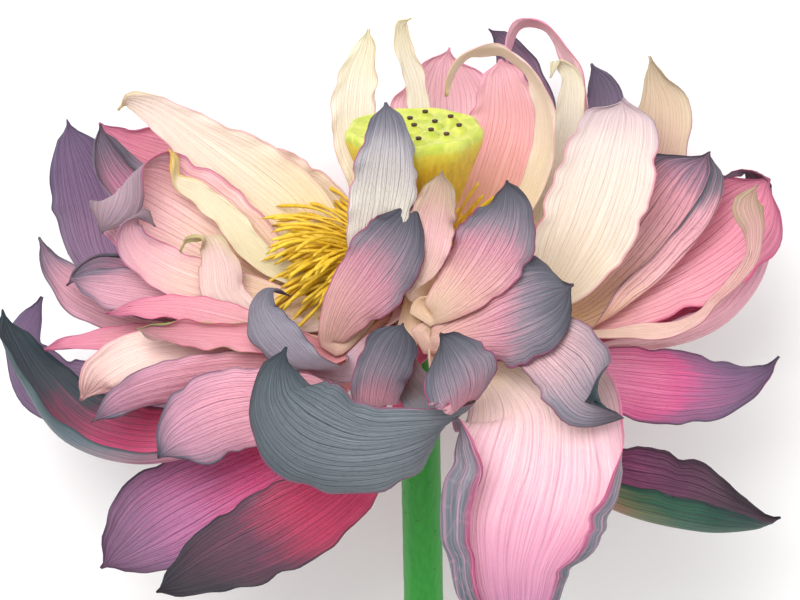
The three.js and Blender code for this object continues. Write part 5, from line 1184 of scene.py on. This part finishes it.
def add_petals(whorl):
    settings = bpy.context.scene.lotus_petals
    shifts = eased()
    for number, (name, petal) in enumerate(PETALS.items()):
        if not name.startswith(whorl):
            continue
        paints = [bpy.data.materials.get(f"{petal.skin} petal, {side} face") for side in ("inner", "outer")]
        paints = [paint or petal_paint(petal.skin, outside, settings) for outside, paint in enumerate(paints)]
        sheet = petal_sheet(petal, shifts[name], settings, number * 1.7)
        piece = add_piece(f"petal_{name}", sheet, paints, [f"petal_{name}"])
        piece.vertex_groups.new(name="thickness")
        solid = piece.modifiers.new("thickness", "SOLIDIFY")
        solid.thickness = settings.thickness
        solid.offset = 0
        solid.vertex_group = "thickness"
        solid.material_offset = 1


def tube(bm, path, radii, sides, material=0):
    """A closed round tube along a path: a grid rolled up, and its seam and ends welded."""
    path, radii = np.asarray(path), np.asarray(radii)
    rows = len(path) - 1
    tangent = unit(np.gradient(path, axis=0))
    first = unit(np.cross(tangent, UP + 1e-4))
    second = np.cross(tangent, first)
    before = len(bm.faces)
    made = bmesh.ops.create_grid(bm, x_segments=sides, y_segments=rows, size=1)["verts"]
    for vert in made:
        i, turn = round((vert.co.y + 1) / 2 * rows), (vert.co.x + 1) * pi
        vert.co = row_metres(path[i] + radii[i] * (cos(turn) * first[i] + sin(turn) * second[i]))
    bmesh.ops.remove_doubles(bm, verts=made, dist=1e-6)
    bm.faces.ensure_lookup_table()
    for face in bm.faces[before:]:
        face.material_index = material


def turned(bm, profile, steps):
    """A closed body of revolution round the flower's axis, from a profile of height and radius."""
    verts = [bm.verts.new(row_metres(ring(0, radius, height))) for height, radius in profile]
    edges = [bm.edges.new(pair) for pair in zip(verts, verts[1:])]
    bmesh.ops.spin(
        bm, geom=verts + edges, cent=Vector(to_row()), axis=Vector(UP), angle=2 * pi, steps=steps,
        use_merge=True,
    )
    bmesh.ops.remove_doubles(bm, verts=bm.verts, dist=1e-6)
    bmesh.ops.recalc_face_normals(bm, faces=bm.faces)


def rounded(profile, times):
    """The same profile with its corners cut, again and again."""
    for _ in range(times):
        a, b = profile[:-1], profile[1:]
        cut = np.stack([0.75 * a + 0.25 * b, 0.25 * a + 0.75 * b], 1).reshape(-1, 2)
        profile = np.concatenate([profile[:1], cut, profile[-1:]])
    return profile


LIP_WAVES, LIP_SWELL = 9, 0.025  # count round the lip, and share of the radius
CARPEL_RISE = np.array([58.8, 59.9, 60.6, 61.0, 61.05])
CARPEL_GIRTH = (3.3, 2.5, 1.6, 1.1, 0)
STIGMA_RISE = np.array([60.6, 60.9, 61.6, 61.8, 61.7])
STIGMA_GIRTH = (0.0, 0.75, 1.0, 0.8, 0)


def add_receptacle():
    heart = bpy.context.scene.lotus_heart
    bm = bmesh.new()
    outline = np.concatenate([[(-5, 0), (-5, 5)], RECEPTACLE, [(59.7, 12), (59.6, 6), (59.6, 0)]])
    turned(bm, rounded(outline, 2), 108)
    base = Vector(to_row())
    for vert in bm.verts:
        place = np.array(vert.co - base) * 1000
        height = place @ UP
        radial = place - height * UP
        azimuth = np.arctan2(radial @ BACK, radial @ RIGHT)
        swell = LIP_SWELL * sin(-LIP_WAVES * azimuth)
        swell *= smooth((height - 45) / 14) * smooth(np.linalg.norm(radial) / 16)
        vert.co = row_metres(height * UP + radial * (1 + swell))
    for count, radius in CARPELS:
        for i in range(count):
            turn = 2 * pi * i / count + radius * 0.11
            foot = radius * (cos(turn) * RIGHT - sin(turn) * BACK)
            tube(bm, foot + CARPEL_RISE[:, None] * UP, CARPEL_GIRTH, 18)
            tube(bm, foot + STIGMA_RISE[:, None] * UP, STIGMA_GIRTH, 7, 1)
    bmesh.ops.recalc_face_normals(bm, faces=bm.faces)
    paints = [receptacle_paint(heart), speckled_paint("stigma", heart.stigma, 0.5, 900, 0.6)]
    add_piece("receptacle", bm, paints, ["receptacle"])


COLLAR = np.array([(16.7, 7), (16.7, 9.1), (18.9, 9.1), (18.9, 7), (16.7, 7)])  # height, radius
STAMEN_FOOT = (8.2, 17.8)  # radius, height
LEFT_SHARE = 0.88  # of the stamens that are left, most lie in a bunch to the left


def add_stamens():
    heart = bpy.context.scene.lotus_heart
    chance = np.random.default_rng(11).random
    bm = bmesh.new()
    turned(bm, rounded(COLLAR, 1), 48)
    count, radius = heart.filaments, heart.filament_radius * 1000
    t = np.linspace(0, 1, 15)
    girth = radius * np.interp(t, (0, 0.04, 0.62, 0.7, 0.95, 1), (0, 1, 1, 1.6, 1.5, 0))
    for i in range(count):
        left = i < LEFT_SHARE * count
        azimuth = 128 + 84 * (i + chance()) / (LEFT_SHARE * count) if left else 320 + 110 * chance()
        length = 25 + 14 * chance() if left else 14 + 8 * chance()
        steep = 0.9 if left else 2.2
        rise, bend, hook = 0.05 + steep * chance(), 24 * (chance() - 0.5), 9 * (chance() - 0.5)
        turns = azimuth + bend * t * t + hook * np.sin(5 * t)
        heights = STAMEN_FOOT[1] + length * (rise * t - 0.55 * t * t) + 0.9 * np.sin(6 * t + i)
        tube(bm, [ring(*row) for row in zip(turns, STAMEN_FOOT[0] + length * t, heights)], girth, 6)
    bmesh.ops.recalc_face_normals(bm, faces=bm.faces)
    paint = speckled_paint("stamen", heart.filament, 0.72, 700, 0.45)
    add_piece("stamens", bm, [paint], ["stamens"])


def add_stalk():
    stalk = bpy.context.scene.lotus_stalk
    radius = stalk.radius * 1000
    top, foot = RECEPTACLE[0, 0] - SEAT, stalk_foot(radius)
    bm = bmesh.new()
    height = np.linspace(foot + 0.01, top, 90)
    wobble = 1 + 0.006 * np.sin(height * 0.31) + 0.005 * np.sin(height * 0.83)
    wobble[0] = 1
    path = np.concatenate([[foot * UP], height[:, None] * UP, [top * UP]])
    tube(bm, path, np.concatenate([[0], radius * wobble, [0]]), 40)
    cut_end, axis = Vector(row_metres(foot * UP)), Vector(UP)
    for face in bm.faces:
        face.material_index = int(all((vert.co - cut_end).dot(axis) < 2e-5 for vert in face.verts))
    bmesh.ops.recalc_face_normals(bm, faces=bm.faces)
    cut = speckled_paint("cut end", (0.36, 0.42, 0.16), 0.35, 600, 0.6)
    add_piece("stalk", bm, [stalk_paint(stalk), cut], ["stem"])


VIEW_CENTRE = (-5.4, 6, 0)
CAMERA_HEIGHT = 2.0
LENS, SENSOR = 300, 36
LAMP_SIZE = 1.1
LAMP_PLACE = (-0.38, 0.62, 1.35)
FLOOR_DROP = 0.0003  # keeps the floor clear of what rests on it


def add_stage():
    stage = bpy.context.scene.lotus_stage
    bm = bmesh.new()
    bmesh.ops.create_grid(bm, x_segments=1, y_segments=1, size=2.5)
    bmesh.ops.translate(bm, verts=bm.verts, vec=(0, 0, -FLOOR_DROP))
    floor = add_piece("floor", bm, [floor_paint(stage.floor)])
    centre = Vector(row_metres(VIEW_CENTRE))
    key = bpy.data.lights.new("key", "AREA")
    key.energy, key.shape, key.size = stage.key, "DISK", LAMP_SIZE
    lamp = bpy.data.objects.new("key", key)
    lamp.location = centre + Vector(LAMP_PLACE)
    lamp.rotation_euler = (centre - lamp.location).to_track_quat("-Z", "Y").to_euler()
    lens = bpy.data.cameras.new("camera")
    lens.lens, lens.sensor_width = LENS, SENSOR
    camera = bpy.data.objects.new("camera", lens)
    camera.location = centre + Vector((0, 0, CAMERA_HEIGHT))
    for thing in (lamp, camera):
        bpy.context.scene.collection.objects.link(thing)
    world = bpy.data.worlds.new("soft sky")
    world.use_nodes = True
    sky = world.node_tree.nodes["Background"].inputs
    sky["Color"].default_value, sky["Strength"].default_value = (1, 1, 1, 1), stage.sky
    bpy.context.scene.world = world
    bpy.context.scene.camera = camera
    bpy.context.scene.view_settings.view_transform = "Standard"


# ---------------------------------------------------------------- operators and panel


class LOTUS_OT_back_petals(bpy.types.Operator):
    """Add the petals behind the receptacle, cream, rose and lilac"""

    bl_idname = "lotus.back_petals"
    bl_label = "Back Petals"

    def execute(self, context):
        add_petals("back")
        return {"FINISHED"}


class LOTUS_OT_right_petals(bpy.types.Operator):
    """Add the petals to the right, from the pale broad one to the dark green one"""

    bl_idname = "lotus.right_petals"
    bl_label = "Right Petals"

    def execute(self, context):
        add_petals("right")
        return {"FINISHED"}


class LOTUS_OT_centre_petals(bpy.types.Operator):
    """Add the small petals that stand in front of the receptacle"""

    bl_idname = "lotus.centre_petals"
    bl_label = "Centre Petals"

    def execute(self, context):
        add_petals("centre")
        return {"FINISHED"}


class LOTUS_OT_front_petals(bpy.types.Operator):
    """Add the slate and blush petals that hang over the stalk"""

    bl_idname = "lotus.front_petals"
    bl_label = "Front Petals"

    def execute(self, context):
        add_petals("front")
        return {"FINISHED"}


class LOTUS_OT_left_petals(bpy.types.Operator):
    """Add the many layered petals to the left"""

    bl_idname = "lotus.left_petals"
    bl_label = "Left Petals"

    def execute(self, context):
        add_petals("left")
        return {"FINISHED"}


class LOTUS_OT_under_petals(bpy.types.Operator):
    """Add the outermost petals, which the flower lies on"""

    bl_idname = "lotus.under_petals"
    bl_label = "Under Petals"

    def execute(self, context):
        add_petals("under")
        return {"FINISHED"}


class LOTUS_OT_receptacle(bpy.types.Operator):
    """Add the flat-topped seed receptacle with its stigmas"""

    bl_idname = "lotus.receptacle"
    bl_label = "Receptacle"

    def execute(self, context):
        add_receptacle()
        return {"FINISHED"}


class LOTUS_OT_stamens(bpy.types.Operator):
    """Add the golden stamens and the collar they grow from"""

    bl_idname = "lotus.stamens"
    bl_label = "Stamens"

    def execute(self, context):
        add_stamens()
        return {"FINISHED"}


class LOTUS_OT_stalk(bpy.types.Operator):
    """Add the cut stalk"""

    bl_idname = "lotus.stalk"
    bl_label = "Stalk"

    def execute(self, context):
        add_stalk()
        return {"FINISHED"}


class LOTUS_OT_stage(bpy.types.Operator):
    """Add the pale floor, the soft light and the camera"""

    bl_idname = "lotus.stage"
    bl_label = "Stage"

    def execute(self, context):
        add_stage()
        return {"FINISHED"}


SETTINGS = {
    "lotus_petals": PetalSettings,
    "lotus_heart": HeartSettings,
    "lotus_stalk": StalkSettings,
    "lotus_stage": StageSettings,
}
OPERATORS = (
    LOTUS_OT_back_petals, LOTUS_OT_right_petals, LOTUS_OT_centre_petals,
    LOTUS_OT_front_petals, LOTUS_OT_left_petals, LOTUS_OT_under_petals,
    LOTUS_OT_receptacle, LOTUS_OT_stamens, LOTUS_OT_stalk, LOTUS_OT_stage,
)


class LOTUS_PT_panel(bpy.types.Panel):
    """Sizes and colours of the lotus flower, and a button for each of its parts"""

    bl_idname = "LOTUS_PT_panel"
    bl_label = "Lotus flower"
    bl_space_type = "VIEW_3D"
    bl_region_type = "UI"
    bl_category = "Lotus"

    def draw(self, context):
        for name, group in SETTINGS.items():
            box = self.layout.box()
            for prop in group.__annotations__:
                box.prop(getattr(context.scene, name), prop)
        for each in OPERATORS:
            self.layout.operator(each.bl_idname)


def register():
    for each in (*SETTINGS.values(), *OPERATORS, LOTUS_PT_panel):
        bpy.utils.register_class(each)
    for name, group in SETTINGS.items():
        setattr(bpy.types.Scene, name, PointerProperty(type=group))


def unregister():
    for name in SETTINGS:
        delattr(bpy.types.Scene, name)
    for each in (LOTUS_PT_panel, *reversed(OPERATORS), *reversed(SETTINGS.values())):
        bpy.utils.unregister_class(each)


def main():
    register()
    for whorl in ("back", "right", "centre", "front", "left", "under"):
        getattr(bpy.ops.lotus, f"{whorl}_petals")()
    bpy.ops.lotus.receptacle()
    bpy.ops.lotus.stamens()
    bpy.ops.lotus.stalk()
    bpy.ops.lotus.stage()
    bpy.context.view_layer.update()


if __name__ == "__main__":
    main()
